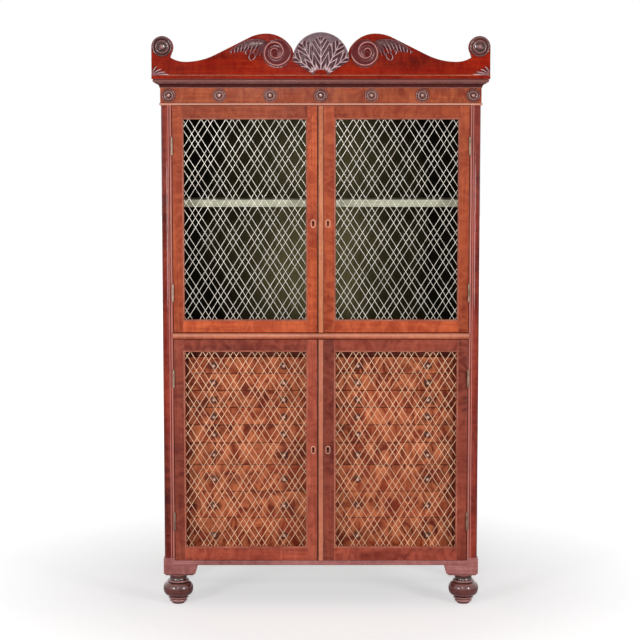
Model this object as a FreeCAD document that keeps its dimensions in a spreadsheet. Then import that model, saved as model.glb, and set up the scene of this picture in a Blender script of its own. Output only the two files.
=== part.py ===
import FreeCAD
import Part
import math
import os
import Sketcher
from FreeCAD import Placement, Rotation, Vector
from types import SimpleNamespace

# Specimen cabinet: a floor-standing case of four lattice doors under a scrolled pediment.
# Behind the lower doors stand two banks of nine graduated drawers.
# Millimetres. +X is to the right as one faces the doors, +Y to the back, +Z up.
# The origin is on the floor, under the middle of the cabinet's overall box.

DRIVING_DIMENSIONS = (
    ("case_width", 1120, "over the two corner posts"),
    ("case_depth", 440, "front of the posts to the back edge of the sides"),
    ("carving_reach", 34, "how far the pediment carving stands in front of the posts"),
    ("pediment_width", 1175, "over the pediment board"),
    ("block_base", 110, "underside of the foot blocks"),
    ("case_base", 149, "underside of the bottom rail and sides"),
    ("post_base", 175, "top of the foot blocks, where the posts stand"),
    ("lower_door_base", 167.5, ""),
    ("lower_opening_base", 217, "lowest edge seen of the lower lattice"),
    ("lower_opening_top", 916, ""),
    ("lower_door_top", 960.5, ""),
    ("mid_rail_base", 962, "underside of the rounded rail between the doors"),
    ("mid_rail_top", 985, ""),
    ("upper_door_base", 986.5, ""),
    ("upper_opening_base", 1032, ""),
    ("upper_opening_top", 1733, ""),
    ("upper_door_top", 1780.5, ""),
    ("frieze_bead_base", 1782, ""),
    ("frieze_base", 1790, ""),
    ("frieze_top", 1842, ""),
    ("cornice_top", 1872, "top of the cornice, where the pediment board stands"),
    ("crest_height", 2032, "top of the carved shell"),
    ("panel", 22, "thickness of the sides, boards and doors"),
    ("post_width", 38, "corner post, both ways"),
    ("post_round", 27, "radius of the post's rounded corner"),
    ("post_bead", 4, "radius of the small bead beside the door"),
    ("cornice_reach", 24, ""),
    ("nose_reach", 10, "how far the two rounded rails stand forward"),
    ("door_edge", 519.5, "half-width of the door opening, to the doors' hinged edges"),
    ("opening_edge", 480, "outer edge of a lattice opening, from the centre"),
    ("opening_inner_edge", 52.5, "inner edge of a lattice opening, from the centre"),
    ("meeting_line", 12, "where the doors meet, left of the centre"),
    ("meeting_gap", 2.5, "between the two doors"),
    ("sight_bead", 6, "moulding round a lattice opening"),
    ("astragal_width", 21, ""),
    ("astragal_reach", 7, ""),
    ("lattice_pitch", 21.8, "between neighbouring rods, measured across"),
    ("lattice_slope", 57.7, "degrees of a rod from the horizontal"),
    ("rod_width", 2.6, ""),
    ("lattice_border", 4, "width of the lattice's border strip"),
    ("lattice_set_back", 8, "door face to the front rods"),
    ("hinge_length", 62, ""),
    ("hinge_leaf", 1.2, "thickness of a hinge leaf"),
    ("knuckle_radius", 3.6, ""),
    ("pin_radius", 1.2, ""),
    ("pin_clearance", 0.5, "between the corners of the pin and of the bore that turns on it"),
    ("shelf_base", 1426, ""),
    ("shelf_thickness", 26, ""),
    ("shelf_set_back", 80, ""),
    ("backboard", 12, "thickness of the backboards"),
    ("drawer_front_set_back", 58, "door face to the drawer fronts"),
    ("drawer_outer_edge", 473, "outer edge of a drawer front, from the centre"),
    ("drawer_inner_edge", 41, "inner edge of a drawer front, from the centre"),
    ("drawer_front", 18, "thickness of a drawer front"),
    ("drawer_length", 353, "front of a drawer to its back"),
    ("drawer_side", 9, "thickness of a drawer's sides and back"),
    ("drawer_gap", 1, "round a drawer front"),
    ("bank_top", 893, "top of the highest drawer's cell"),
    ("bank_base", 190, "bottom of the lowest drawer's cell"),
    ("knob_spacing", 250, "between a drawer's two knobs"),
    ("knob_radius", 13, ""),
    ("knob_reach", 20, ""),
    ("boss_radius", 23.5, "turned boss on the frieze"),
    ("boss_spacing", 177.3, ""),
    ("rosette_radius", 37.5, "turned rosette at each end of the pediment"),
    ("volute_radius", 50, ""),
    ("shell_radius", 98, ""),
    ("foot_radius", 53.5, "bulb of a turned front foot"),
    ("foot_inset", 48, "foot axis behind the block's front and inside its outer face"),
    ("rear_foot", 64, "square of a rear foot at its top"),
    ("rear_foot_toe", 46, "square of a rear foot at the floor"),
)

# Graduated drawer heights, top to bottom. Together they fill the bank.
DRAWER_PITCHES = (61, 61, 61, 63, 65, 80, 96, 96, 120)

# Heights of the hinges' lower ends: two to a door.
HINGE_BASES = {"lower": (278, 791), "upper": (1095, 1609)}
KEYHOLE_HEIGHTS = {"lower": 566, "upper": 1370}
KEYHOLE_INSET = 26              # either side of a line 1 mm left of the centre


# ---------------------------------------------------------------------------
# The sheet, and sizes that know the cell they come from
# ---------------------------------------------------------------------------

class Size:
    """A length and the sheet expression that gives it."""

    def __init__(self, value, text=None):
        self.value = float(value)
        self.text = text or repr(float(value))

    def combine(self, other, sign, value, flip=False):
        first, second = (other, self) if flip else (self, other)
        return Size(value, f"({first.text} {sign} {second.text})")

    def __add__(self, other):
        other = as_size(other)
        return self.combine(other, "+", self.value + other.value)

    def __radd__(self, other):
        other = as_size(other)
        return self.combine(other, "+", self.value + other.value, flip=True)

    def __sub__(self, other):
        other = as_size(other)
        return self.combine(other, "-", self.value - other.value)

    def __rsub__(self, other):
        other = as_size(other)
        return self.combine(other, "-", other.value - self.value, flip=True)

    def __mul__(self, other):
        other = as_size(other)
        return self.combine(other, "*", self.value * other.value)

    def __rmul__(self, other):
        other = as_size(other)
        return self.combine(other, "*", self.value * other.value, flip=True)

    def __truediv__(self, other):
        other = as_size(other)
        return self.combine(other, "/", self.value / other.value)

    def __neg__(self):
        return 0 - self


def as_size(number):
    return number if isinstance(number, Size) else Size(number)


doc = FreeCAD.newDocument("SpecimenCabinet")
sheet = doc.addObject("Spreadsheet::Sheet", "Dimensions")
dim = SimpleNamespace()


def driving(row, alias, value, note=""):
    """Write one driving dimension into the sheet and return it as a Size."""
    sheet.set(f"A{row}", alias)
    sheet.set(f"B{row}", str(value))
    sheet.setAlias(f"B{row}", alias)
    sheet.set(f"C{row}", note)
    return Size(value, f"Dimensions.{alias}")


for row, (alias, value, note) in enumerate(DRIVING_DIMENSIONS, start=1):
    setattr(dim, alias, driving(row, alias, value, note))

next_row = len(DRIVING_DIMENSIONS) + 1
dim.pitches = [
    driving(next_row + index, f"drawer_pitch_{'abcdefghi'[index]}", pitch, "height taken by a drawer")
    for index, pitch in enumerate(DRAWER_PITCHES)
]
doc.recompute()

# Planes that most pieces are set out from
HALF_WIDTH = dim.case_width / 2
FRONT = -(dim.case_depth - dim.carving_reach) / 2
BACK = (dim.case_depth + dim.carving_reach) / 2
POST_INNER = HALF_WIDTH - dim.post_width
POST_BACK = FRONT + dim.post_width
SIDE_INNER = HALF_WIDTH - dim.panel
DOOR_BACK = FRONT + dim.panel
STOP_FACE = DOOR_BACK + 2                     # rails behind the doors, which they close against
DRAWER_FACE = FRONT + dim.drawer_front_set_back
BOARD_FRONT = BACK - dim.backboard

nodes = []


# ---------------------------------------------------------------------------
# Helpers
# ---------------------------------------------------------------------------

def bind(thing, prop, size):
    """Tie one property of an object to the sheet."""
    thing.setExpression(prop, as_size(size).text)


def place(thing, x=0, y=0, z=0):
    """Put an object's own origin at a point set out from the sheet."""
    for axis, size in (("x", x), ("y", y), ("z", z)):
        bind(thing, f"Placement.Base.{axis}", size)
    return thing


def block(name, x, y, z):
    """A rectangular board between two X, two Y and two Z planes."""
    box = doc.addObject("Part::Box", name)
    for prop, (low, high) in (("Length", x), ("Width", y), ("Height", z)):
        bind(box, prop, high - as_size(low))
    return place(box, x[0], y[0], z[0])


def node(name, *members):
    """Name a finished sub-part. Several members stay separate solids of one sub-part."""
    if len(members) == 1:
        part = members[0]
    else:
        part = doc.addObject("Part::Compound", name)
        part.Links = list(members)
    part.Label = name
    nodes.append(part)
    return part


def mirrored(name, source):
    """The same piece on the other side of the cabinet's middle plane."""
    twin = doc.addObject("Part::Mirroring", name)
    twin.Source = source
    twin.Base = Vector(0, 0, 0)
    twin.Normal = Vector(1, 0, 0)
    return twin


def new_body(name):
    return doc.addObject("PartDesign::Body", name)


def origin_plane(body, role):
    return next(feature for feature in body.Origin.OriginFeatures if feature.Role == role)


def to(x, y):
    """A straight run of an outline to the point x, y."""
    return SimpleNamespace(x=as_size(x), y=as_size(y), radius=None, side=1)


def arc(x, y, radius, side):
    """A turn of less than half a circle to x, y. side 1 has its centre on the left, -1 on the right."""
    return SimpleNamespace(x=as_size(x), y=as_size(y), radius=as_size(radius), side=side)


def arc_curve(start, end, radius, side):
    """The circular arc between two sketch points, as Sketcher geometry, and whether it runs forwards."""
    chord = end - start
    across = Vector(-chord.y, chord.x, 0).normalize()
    rise = math.sqrt(max(radius ** 2 - (chord.Length / 2) ** 2, 0.0))
    centre = start + chord * 0.5 + across * (rise * side)
    circle = Part.Circle(centre, Vector(0, 0, 1), radius)
    first = math.atan2(start.y - centre.y, start.x - centre.x)
    last = math.atan2(end.y - centre.y, end.x - centre.x)
    if side < 0:
        first, last = last, first
    return Part.ArcOfCircle(circle, first, last + (2 * math.pi if last < first else 0))


def sketch_outline(body, plane, name, outline):
    """A closed, fully constrained sketch through the outline's points, each tied to the sheet."""
    sketch = body.newObject("Sketcher::SketchObject", name)
    sketch.AttachmentSupport = (origin_plane(body, plane), [""])
    sketch.MapMode = "FlatFace"
    corners = [Vector(step.x.value, step.y.value, 0) for step in outline]
    starts = []
    ends = []
    for index, step in enumerate(outline):
        start, end = corners[index - 1], corners[index]
        if step.radius is None:
            geometry = sketch.addGeometry(Part.LineSegment(start, end), False)
            starts.append((geometry, 1))
            ends.append((geometry, 2))
        else:
            curve = arc_curve(start, end, step.radius.value, step.side)
            geometry = sketch.addGeometry(curve, False)
            starts.append((geometry, 1 if step.side > 0 else 2))
            ends.append((geometry, 2 if step.side > 0 else 1))
    for index in range(len(outline)):
        sketch.addConstraint(Sketcher.Constraint("Coincident", *ends[index - 1], *starts[index]))
    for index, step in enumerate(outline):
        for kind, size, axis in (("DistanceX", step.x, -2), ("DistanceY", step.y, -1)):
            if abs(size.value) < 1e-9:
                sketch.addConstraint(Sketcher.Constraint("PointOnObject", *ends[index], axis))
                continue
            number = sketch.addConstraint(
                Sketcher.Constraint(kind, -1, 1, *ends[index], size.value))
            sketch.setExpression(f"Constraints[{number}]", size.text)
        if step.radius is not None:
            number = sketch.addConstraint(
                Sketcher.Constraint("Radius", ends[index][0], step.radius.value))
            sketch.setExpression(f"Constraints[{number}]", step.radius.text)
    return sketch


def padded(name, plane, outline, length, both_ways=False, reverse=False):
    """A body padded from one outline, forwards along the sketch's normal unless told otherwise."""
    body = new_body(name)
    pad = body.newObject("PartDesign::Pad", name + "_pad")
    pad.Profile = sketch_outline(body, plane, name + "_outline", outline)
    bind(pad, "Length", length)
    pad.Midplane = both_ways
    pad.Reversed = reverse
    body.Tip = pad
    return body


def turned(name, plane, outline):
    """A body turned about the sketch's vertical axis: plane XZ stands it up, XY lays it along Y."""
    body = new_body(name)
    turning = body.newObject("PartDesign::Revolution", name + "_turning")
    profile = sketch_outline(body, plane, name + "_profile", outline)
    turning.Profile = profile
    turning.ReferenceAxis = (profile, ["V_Axis"])
    turning.Angle = 360
    body.Tip = turning
    return body


def edges_between(shape, low, high):
    """Names of the edges that lie wholly inside a box, for a fillet or chamfer."""
    found = []
    for index, edge in enumerate(shape.Edges, start=1):
        box = edge.BoundBox
        inside = all((
            low.x <= box.XMin and box.XMax <= high.x,
            low.y <= box.YMin and box.YMax <= high.y,
            low.z <= box.ZMin and box.ZMax <= high.z,
        ))
        if inside:
            found.append(f"Edge{index}")
    return found


def dressed(body, kind, name, edges, prop, size):
    """Add a fillet or chamfer on chosen edges of a body's latest feature."""
    latest = body.Tip
    feature = body.newObject(f"PartDesign::{kind}", name)
    feature.Base = (latest, edges)
    bind(feature, prop, size)
    body.Tip = feature
    return body


def common(name, first, second):
    piece = doc.addObject("Part::Common", name)
    piece.Base = first
    piece.Tool = second
    return piece


def size_of(size):
    """Read a size as the sheet holds it, for shapes that are set by code."""
    return as_size(size).value


def shaped(name, shape):
    """An object whose shape is made by code."""
    feature = doc.addObject("Part::Feature", name)
    feature.Shape = shape
    return feature


def polygon_ring(radius, sides, y=0.0):
    """Corners of a regular polygon round the Y axis, anticlockwise as seen from the front."""
    step = 2 * math.pi / sides
    return [
        Vector(radius * math.cos(step * (index + 0.5)), y, radius * math.sin(step * (index + 0.5)))
        for index in range(sides)
    ]


def flat_face(corners):
    return Part.Face(Part.makePolygon([*corners, corners[0]]))


def faceted_turning(profile, sides):
    """A small turned piece in flat facets, lying along Y.

    The profile is (radius, distance to the front) from its back to its front.
    """
    rings = [polygon_ring(radius, sides, -reach) for radius, reach in profile]
    faces = [flat_face(rings[0][::-1]), flat_face(rings[-1])]
    for behind, ahead in zip(rings, rings[1:]):
        for index in range(sides):
            following = (index + 1) % sides
            faces.append(flat_face([behind[index], behind[following], ahead[following], ahead[index]]))
    return Part.Solid(Part.Shell(faces))


# ---------------------------------------------------------------------------
# Feet
# ---------------------------------------------------------------------------

def foot_block(name):
    """Right-hand block: it carries the post at the corner and runs inwards under the rail."""
    proud = 2
    outer = HALF_WIDTH + proud
    inner_top = HALF_WIDTH - 119
    inner_base = HALF_WIDTH - 109
    depth = 120
    chamfer = 10
    body = padded(name, "XZ_Plane", [
        to(outer, dim.block_base), to(outer, dim.case_base),
        to(inner_top, dim.case_base), to(inner_base, dim.block_base),
    ], depth, reverse=True)
    doc.recompute()
    base = dim.block_base.value
    far_corner = Vector(outer.value + 1, depth + 1, base + 1)
    underside = edges_between(body.Shape, Vector(0, -1, base - 1), far_corner)
    back = edges_between(body.Shape, Vector(0, depth - 1, base - 1), far_corner)
    dressed(body, "Chamfer", name + "_chamfer", [e for e in underside if e not in back], "Size", chamfer)
    corner = body.newObject("PartDesign::Pad", name + "_corner")
    corner.Profile = sketch_outline(body, "XZ_Plane", name + "_corner_outline", [
        to(outer, dim.case_base), to(outer, dim.post_base),
        to(POST_INNER, dim.post_base), to(POST_INNER, dim.case_base),
    ])
    bind(corner, "Length", dim.post_width + proud)
    corner.Reversed = True
    body.Tip = corner
    return place(body, y=FRONT - proud)


def front_foot(name, side):
    """Turned foot: a short toe, a ring, a full bulb and a neck that carries the block."""
    sole, ring, shoulder, belly, collar, neck = 24, 34, 50, dim.foot_radius, 39, 31.5
    body = turned(name, "XZ_Plane", [
        to(0, 0), to(sole, 0), to(ring, 19), to(ring, 28),
        to(shoulder, 41), to(belly, 55), to(shoulder, 69),
        to(collar, 81), to(neck, 95), to(neck, dim.block_base), to(0, dim.block_base),
    ])
    axis = HALF_WIDTH + 2 - dim.foot_inset
    return place(body, axis if side > 0 else -axis, FRONT - 2 + dim.foot_inset)


def rear_foot(name):
    """Right-hand rear foot: square, tapered on its two inner faces."""
    top, toe, height = dim.rear_foot, dim.rear_foot_toe, dim.case_base
    across = padded(name + "_front_view", "XZ_Plane", [
        to(HALF_WIDTH, 0), to(HALF_WIDTH, height), to(HALF_WIDTH - top, height), to(HALF_WIDTH - toe, 0),
    ], BACK, reverse=True)
    deep = padded(name + "_side_view", "YZ_Plane", [
        to(BACK, 0), to(BACK, height), to(BACK - top, height), to(BACK - toe, 0),
    ], HALF_WIDTH)
    return common(name, across, deep)


right_block = foot_block("foot_block_right")
node("foot_blocks", right_block, mirrored("foot_block_left", right_block))
node("front_feet", front_foot("front_foot_left", -1), front_foot("front_foot_right", 1))
right_rear_foot = rear_foot("rear_foot_right")
node("rear_feet", right_rear_foot, mirrored("rear_foot_left", right_rear_foot))


# ---------------------------------------------------------------------------
# Carcase
# ---------------------------------------------------------------------------

def corner_post(name):
    """Right-hand post: a rounded outer corner and a small bead beside the door."""
    width, bead, round_ = dim.post_width, dim.post_bead, dim.post_round
    body = padded(name, "XY_Plane", [
        to(0, width), to(0, bead), arc(bead, 0, bead, 1), arc(bead * 2, bead, bead, 1),
        to(width - round_, 0), arc(width, round_, round_, 1), to(width, width),
    ], dim.frieze_bead_base - dim.post_base)
    return place(body, POST_INNER, FRONT, dim.post_base)


def rounded_rail(name, low, high, stop_low, stop_high, depth):
    """A rail with a half-round nose, taller behind the doors so that they close against it."""
    radius = (high - low) / 2
    reach = dim.nose_reach
    flat = FRONT - reach + radius
    return padded(name, "YZ_Plane", [
        to(STOP_FACE, low), to(STOP_FACE, stop_low),
        to(FRONT + depth, stop_low), to(FRONT + depth, stop_high), to(STOP_FACE, stop_high),
        to(STOP_FACE, high), to(flat, high),
        arc(FRONT - reach, (low + high) / 2, radius, 1), arc(flat, low, radius, 1),
    ], POST_INNER * 2, both_ways=True)


node("case_sides",
     block("side_left", (-HALF_WIDTH, -SIDE_INNER), (POST_BACK, BACK), (dim.case_base, dim.frieze_top)),
     block("side_right", (SIDE_INNER, HALF_WIDTH), (POST_BACK, BACK), (dim.case_base, dim.frieze_top)))

right_post = corner_post("corner_post_right")
node("corner_posts", right_post, mirrored("corner_post_left", right_post))

BOTTOM_STOP = dim.bank_base - 3               # top of the bottom board
BOTTOM_RAIL_BACK = FRONT + 44
BOTTOM_RAIL_TOP = dim.lower_door_base - 1
EASED = 4                                     # radius of the bottom rail's two front edges
node("bottom_rail", padded("bottom_rail", "YZ_Plane", [
    to(BOTTOM_RAIL_BACK, dim.case_base), to(BOTTOM_RAIL_BACK, BOTTOM_STOP),
    to(STOP_FACE, BOTTOM_STOP), to(STOP_FACE, BOTTOM_RAIL_TOP),
    to(FRONT, BOTTOM_RAIL_TOP),
    arc(FRONT - EASED, BOTTOM_RAIL_TOP - EASED, EASED, 1), to(FRONT - EASED, dim.case_base + EASED),
    arc(FRONT, dim.case_base, EASED, 1),
], POST_INNER * 2, both_ways=True))
node("bottom_board", block(
    "bottom_board", (-SIDE_INNER, SIDE_INNER), (BOTTOM_RAIL_BACK, BOARD_FRONT),
    (BOTTOM_STOP - dim.panel, BOTTOM_STOP)))
node("middle_rail", rounded_rail(
    "middle_rail", dim.mid_rail_base, dim.mid_rail_top,
    dim.mid_rail_base - 12, dim.mid_rail_top + 11, dim.drawer_front_set_back))
node("middle_board", block(
    "middle_board", (-SIDE_INNER, SIDE_INNER), (DRAWER_FACE, BOARD_FRONT),
    (dim.mid_rail_top - dim.panel, dim.mid_rail_top)))
node("top_board", block(
    "top_board", (-HALF_WIDTH, HALF_WIDTH), (FRONT, BACK), (dim.frieze_top, dim.cornice_top)))


def backboards():
    """Seven upright boards between the sides, edge to edge with a hair's gap."""
    count = 7
    gap = 0.4
    width = (SIDE_INNER * 2 - gap * (count - 1)) / count
    boards = []
    for index in range(count):
        left = -SIDE_INNER + (width + gap) * index
        boards.append(block(
            f"backboard_{index + 1}", (left, left + width), (BOARD_FRONT, BACK),
            (dim.case_base, dim.frieze_top)))
    return boards


node("backboards", *backboards())
node("shelf", block(
    "shelf", (-SIDE_INNER, SIDE_INNER), (FRONT + dim.shelf_set_back, BOARD_FRONT),
    (dim.shelf_base, dim.shelf_base + dim.shelf_thickness)))


def shelf_batten(name, side):
    depth = 18
    edge = SIDE_INNER - depth
    across = (edge, SIDE_INNER) if side > 0 else (-SIDE_INNER, -edge)
    return block(name, across, (FRONT + dim.shelf_set_back, BOARD_FRONT),
                 (dim.shelf_base - 25, dim.shelf_base))


node("shelf_battens", shelf_batten("shelf_batten_left", -1), shelf_batten("shelf_batten_right", 1))


# ---------------------------------------------------------------------------
# Frieze and cornice
# ---------------------------------------------------------------------------

def uncut_lengths(name, outline):
    """A moulding's front and right-hand lengths, longer than the case on both ends.

    The outline gives distance out from the case and height.
    """
    spare = 200
    facing_forwards = [SimpleNamespace(**{**vars(step), "x": FRONT - step.x, "side": -step.side})
                       for step in outline]
    facing_right = [SimpleNamespace(**{**vars(step), "x": HALF_WIDTH + step.x}) for step in outline]
    return (padded(name + "_front", "YZ_Plane", facing_forwards, dim.case_width + spare, both_ways=True),
            padded(name + "_right", "XZ_Plane", facing_right, dim.case_depth + spare, both_ways=True))


def mitre_cutter(name, corners, low, high):
    """An upright prism over a plan outline, used to keep one side of a mitre."""
    cutter = padded(name, "XY_Plane", [to(x, y) for x, y in corners], high - as_size(low))
    return place(cutter, z=low)


def run_round_case(name, outline, low, high):
    """Front length and two returns of a moulding, cut to mitres at the front corners."""
    spread = 60
    front, right = uncut_lengths(name, outline)
    front_keeper = mitre_cutter(name + "_front_keeper", [
        (-HALF_WIDTH, FRONT), (-HALF_WIDTH - spread, FRONT - spread),
        (HALF_WIDTH + spread, FRONT - spread), (HALF_WIDTH, FRONT)], low, high)
    right_keeper = mitre_cutter(name + "_right_keeper", [
        (HALF_WIDTH, FRONT), (HALF_WIDTH + spread, FRONT - spread),
        (HALF_WIDTH + spread, BACK), (HALF_WIDTH, BACK)], low, high)
    front_length = common(name + "_front_length", front, front_keeper)
    right_return = common(name + "_right_return", right, right_keeper)
    return front_length, right_return, mirrored(name + "_left_return", right_return)


COVE = 16
TORUS = 6
cornice_outline = [
    to(0, dim.frieze_top), to(2, dim.frieze_top),
    arc(2 + COVE * 0.75, dim.frieze_top + COVE, COVE * 0.9, -1),
    to(dim.cornice_reach - TORUS, dim.frieze_top + COVE),
    to(dim.cornice_reach - TORUS, dim.cornice_top - TORUS * 2),
    arc(dim.cornice_reach, dim.cornice_top - TORUS, TORUS, 1),
    arc(dim.cornice_reach - TORUS, dim.cornice_top, TORUS, 1),
    to(0, dim.cornice_top),
]
node("cornice", *run_round_case("cornice", cornice_outline, dim.frieze_top, dim.cornice_top))

bead_radius = (dim.frieze_base - dim.frieze_bead_base) / 2
bead_outline = [
    to(0, dim.frieze_bead_base),
    to(bead_radius * 0.7, dim.frieze_bead_base + bead_radius * 0.3),
    to(bead_radius, dim.frieze_bead_base + bead_radius),
    to(bead_radius * 0.7, dim.frieze_base - bead_radius * 0.3),
    to(0, dim.frieze_base),
]
node("frieze_bead", *run_round_case("frieze_bead", bead_outline, dim.frieze_bead_base, dim.frieze_base))

node("frieze_board",
     block("frieze_face", (-HALF_WIDTH, HALF_WIDTH), (FRONT, POST_BACK),
           (dim.frieze_bead_base, dim.frieze_top)),
     block("upper_door_stop", (-POST_INNER, POST_INNER), (STOP_FACE, POST_BACK),
           (dim.frieze_bead_base - 12, dim.frieze_bead_base)))


def frieze_boss(index):
    """A turned boss: rim, hollow and button, with its back on the frieze."""
    radius = size_of(dim.boss_radius)
    boss = shaped(f"frieze_boss_{index + 1}", faceted_turning([
        (radius, 0), (radius * 0.85, 8), (radius * 0.45, 4), (radius * 0.2, 11),
    ], 10))
    height = (dim.frieze_base + dim.frieze_top) / 2
    return place(boss, dim.boss_spacing * (index - 3), FRONT, height)


node("frieze_bosses", *[frieze_boss(index) for index in range(7)])


# ---------------------------------------------------------------------------
# Pediment
# ---------------------------------------------------------------------------

PEDIMENT_HALF = dim.pediment_width / 2
PEDIMENT_FACE = FRONT - 23
PEDIMENT_THICKNESS = 30
ROSETTE_HEIGHT = 1982
VOLUTE_X = 152
VOLUTE_HEIGHT = 1959
SHELL_CENTRE_HEIGHT = dim.crest_height - dim.shell_radius


def radius_from_level(dx, dz):
    """Radius of the arc that leaves a point level and passes dx along and dz above or below it."""
    return (dx * dx + dz * dz) / (2 * abs(dz))


def reflected(outline):
    """The left-hand half of an outline whose right-hand half runs from the top outwards and down."""
    back = []
    for before, step in zip(reversed(outline[:-1]), reversed(outline[1:])):
        back.append(SimpleNamespace(**{**vars(step), "x": -before.x, "y": before.y}))
    return back


def pediment_board(name):
    """One board: a round head at each end, a swan-neck sweep and a dip behind the shell."""
    half, base, radius = PEDIMENT_HALF, dim.cornice_top, dim.rosette_radius
    head = half - radius
    low_x, low_z = 470, 1931                  # lowest point of the sweep's hollow
    crest_x, crest_z = 188, 2028              # highest point of its crown
    notch_x, notch_z = 523, 1947
    hollow_end_x, hollow_end_z = 365, 1956
    crown_start_x, crown_start_z = 240, 2018
    scroll_end_x, scroll_end_z = 99, 1976
    valley_x, valley_z = 95, 1962
    neck = math.radians(30)
    right = [
        to(valley_x, valley_z),
        to(scroll_end_x, scroll_end_z),
        arc(crest_x, crest_z, radius_from_level(crest_x - scroll_end_x, crest_z - scroll_end_z), -1),
        arc(crown_start_x, crown_start_z,
            radius_from_level(crown_start_x - crest_x, crest_z - crown_start_z), -1),
        to(hollow_end_x, hollow_end_z),
        arc(low_x, low_z, radius_from_level(low_x - hollow_end_x, hollow_end_z - low_z), 1),
        arc(notch_x, notch_z, radius_from_level(notch_x - low_x, notch_z - low_z), 1),
        to(head - radius * math.cos(neck), ROSETTE_HEIGHT - radius * math.sin(neck)),
        arc(head, ROSETTE_HEIGHT + radius, radius, -1),
        arc(half, ROSETTE_HEIGHT, radius, -1),
        to(half, base),
    ]
    board = padded(name, "XZ_Plane", [*right, to(-half, base), *reflected(right)],
                   PEDIMENT_THICKNESS, reverse=True)
    band_height, band_reach = 14, 4
    band = board.newObject("PartDesign::Pad", name + "_band")
    band.Profile = sketch_outline(board, "XZ_Plane", name + "_band_outline", [
        to(half, base), to(half, base + band_height), to(-half, base + band_height), to(-half, base)])
    bind(band, "Length", band_reach)
    board.Tip = band
    return place(board, y=PEDIMENT_FACE)


def frond(spine, half_width, rise, bed):
    """A carved leaf: a ridge that swells and dies away along its spine, on a bed plane.

    The spine is a list of (x, z) points from stalk to tip; the ridge stands forward, along -Y.
    """
    tip = Vector(spine[-1][0], bed, spine[-1][1])
    stations = []
    for index, (x, z) in enumerate(spine[:-1]):
        ahead = Vector(spine[index + 1][0] - x, 0, spine[index + 1][1] - z).normalize()
        across = Vector(ahead.z, 0, -ahead.x)
        swell = math.sin(math.pi * (0.15 + 0.7 * index / (len(spine) - 1)))
        middle = Vector(x, bed, z)
        stations.append((middle - across * half_width * swell,
                         middle - Vector(0, rise * swell, 0),
                         middle + across * half_width * swell))
    lefts, _, rights = zip(*stations)
    faces = [flat_face([lefts[0], rights[0], stations[0][1]]), flat_face([*lefts, tip, *rights[::-1]])]
    for (left, ridge, right), (far_left, far_ridge, far_right) in zip(stations, stations[1:]):
        faces += [flat_face([left, ridge, far_ridge]), flat_face([left, far_ridge, far_left]),
                  flat_face([ridge, right, far_right]), flat_face([ridge, far_right, far_ridge])]
    left, ridge, right = stations[-1]
    faces += [flat_face([left, ridge, tip]), flat_face([ridge, right, tip])]
    return Part.Solid(Part.Shell(faces))


def straight_spine(root, degrees, length, shares):
    """Points along a straight stalk that leans a number of degrees from upright."""
    angle = math.radians(degrees)
    return [(root.x + math.sin(angle) * length * share, root.z + math.cos(angle) * length * share)
            for share in shares]


def pediment_shell(name):
    """A fan of five fronds on a fan-shaped ground, whose crest stands free between the scrolls."""
    ground, rise = 5, 6
    radius, height = size_of(dim.shell_radius), size_of(SHELL_CENTRE_HEIGHT)
    stalk_half, stalk_height, free_height = 26, 1888, 1962
    rim, other_rim = Vector(radius, 0, height), Vector(-radius, 0, height)
    outline = Part.Wire([
        Part.Arc(other_rim, Vector(0, 0, height + radius), rim).toShape(),
        Part.makeLine(rim, Vector(stalk_half, 0, stalk_height)),
        Part.makeLine(Vector(stalk_half, 0, stalk_height), Vector(-stalk_half, 0, stalk_height)),
        Part.makeLine(Vector(-stalk_half, 0, stalk_height), other_rim),
    ])
    fan = Part.Face(outline)
    above_board = Part.makeBox(radius * 2, PEDIMENT_THICKNESS, radius * 2, Vector(-radius, 0, free_height))
    crest = fan.extrude(Vector(0, PEDIMENT_THICKNESS, 0)).common(above_board)
    root = Vector(0, 0, stalk_height + 4)
    upright, leaning, spread = (134, 17), (128, 17), (106, 15)
    fronds = [
        frond(straight_spine(root, degrees, length, (0.18, 0.45, 0.78, 1)), width, rise, -ground)
        for degrees, (length, width) in (
            (0, upright), (27, leaning), (-27, leaning), (54, spread), (-54, spread))
    ]
    mound = faceted_turning([(17, 0), (15, 3), (8, rise)], 12)
    mound.translate(Vector(0, -ground, stalk_height + 17))
    shape = fan.extrude(Vector(0, -ground, 0)).fuse([crest, *fronds, mound]).removeSplitter()
    return place(shaped(name, shape), y=PEDIMENT_FACE)


def volute(name):
    """The left-hand scroll: a round ground, a spiral fillet raised on it and a small eye.

    The spiral starts on the side towards the shell and winds down, out and over, one and a
    half turns, 20 mm nearer the eye with each turn.
    """
    ground, fillet, width = 6, 5, 5
    tightening, turns, stations = 20, 1.5, 15
    radius = size_of(dim.volute_radius)
    outer, inner = [], []
    for station in range(stations + 1):
        turn = turns * station / stations
        ray = Vector(math.cos(2 * math.pi * turn), 0, -math.sin(2 * math.pi * turn))
        reach = radius - 2 - tightening * turn
        outer.append(ray * reach)
        inner.append(ray * (reach - width))
    spiral = flat_face([*outer, *inner[::-1]]).extrude(Vector(0, -fillet, 0))
    spiral.translate(Vector(0, -ground, 0))
    disc = flat_face(polygon_ring(radius, 32)).extrude(Vector(0, -ground, 0))
    eye = faceted_turning([(9, 0), (7, 4), (4, fillet)], 8)
    eye.translate(Vector(0, -ground, 0))
    shape = disc.fuse([spiral, eye]).removeSplitter()
    return place(shaped(name, shape), -VOLUTE_X, PEDIMENT_FACE, VOLUTE_HEIGHT)


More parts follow.
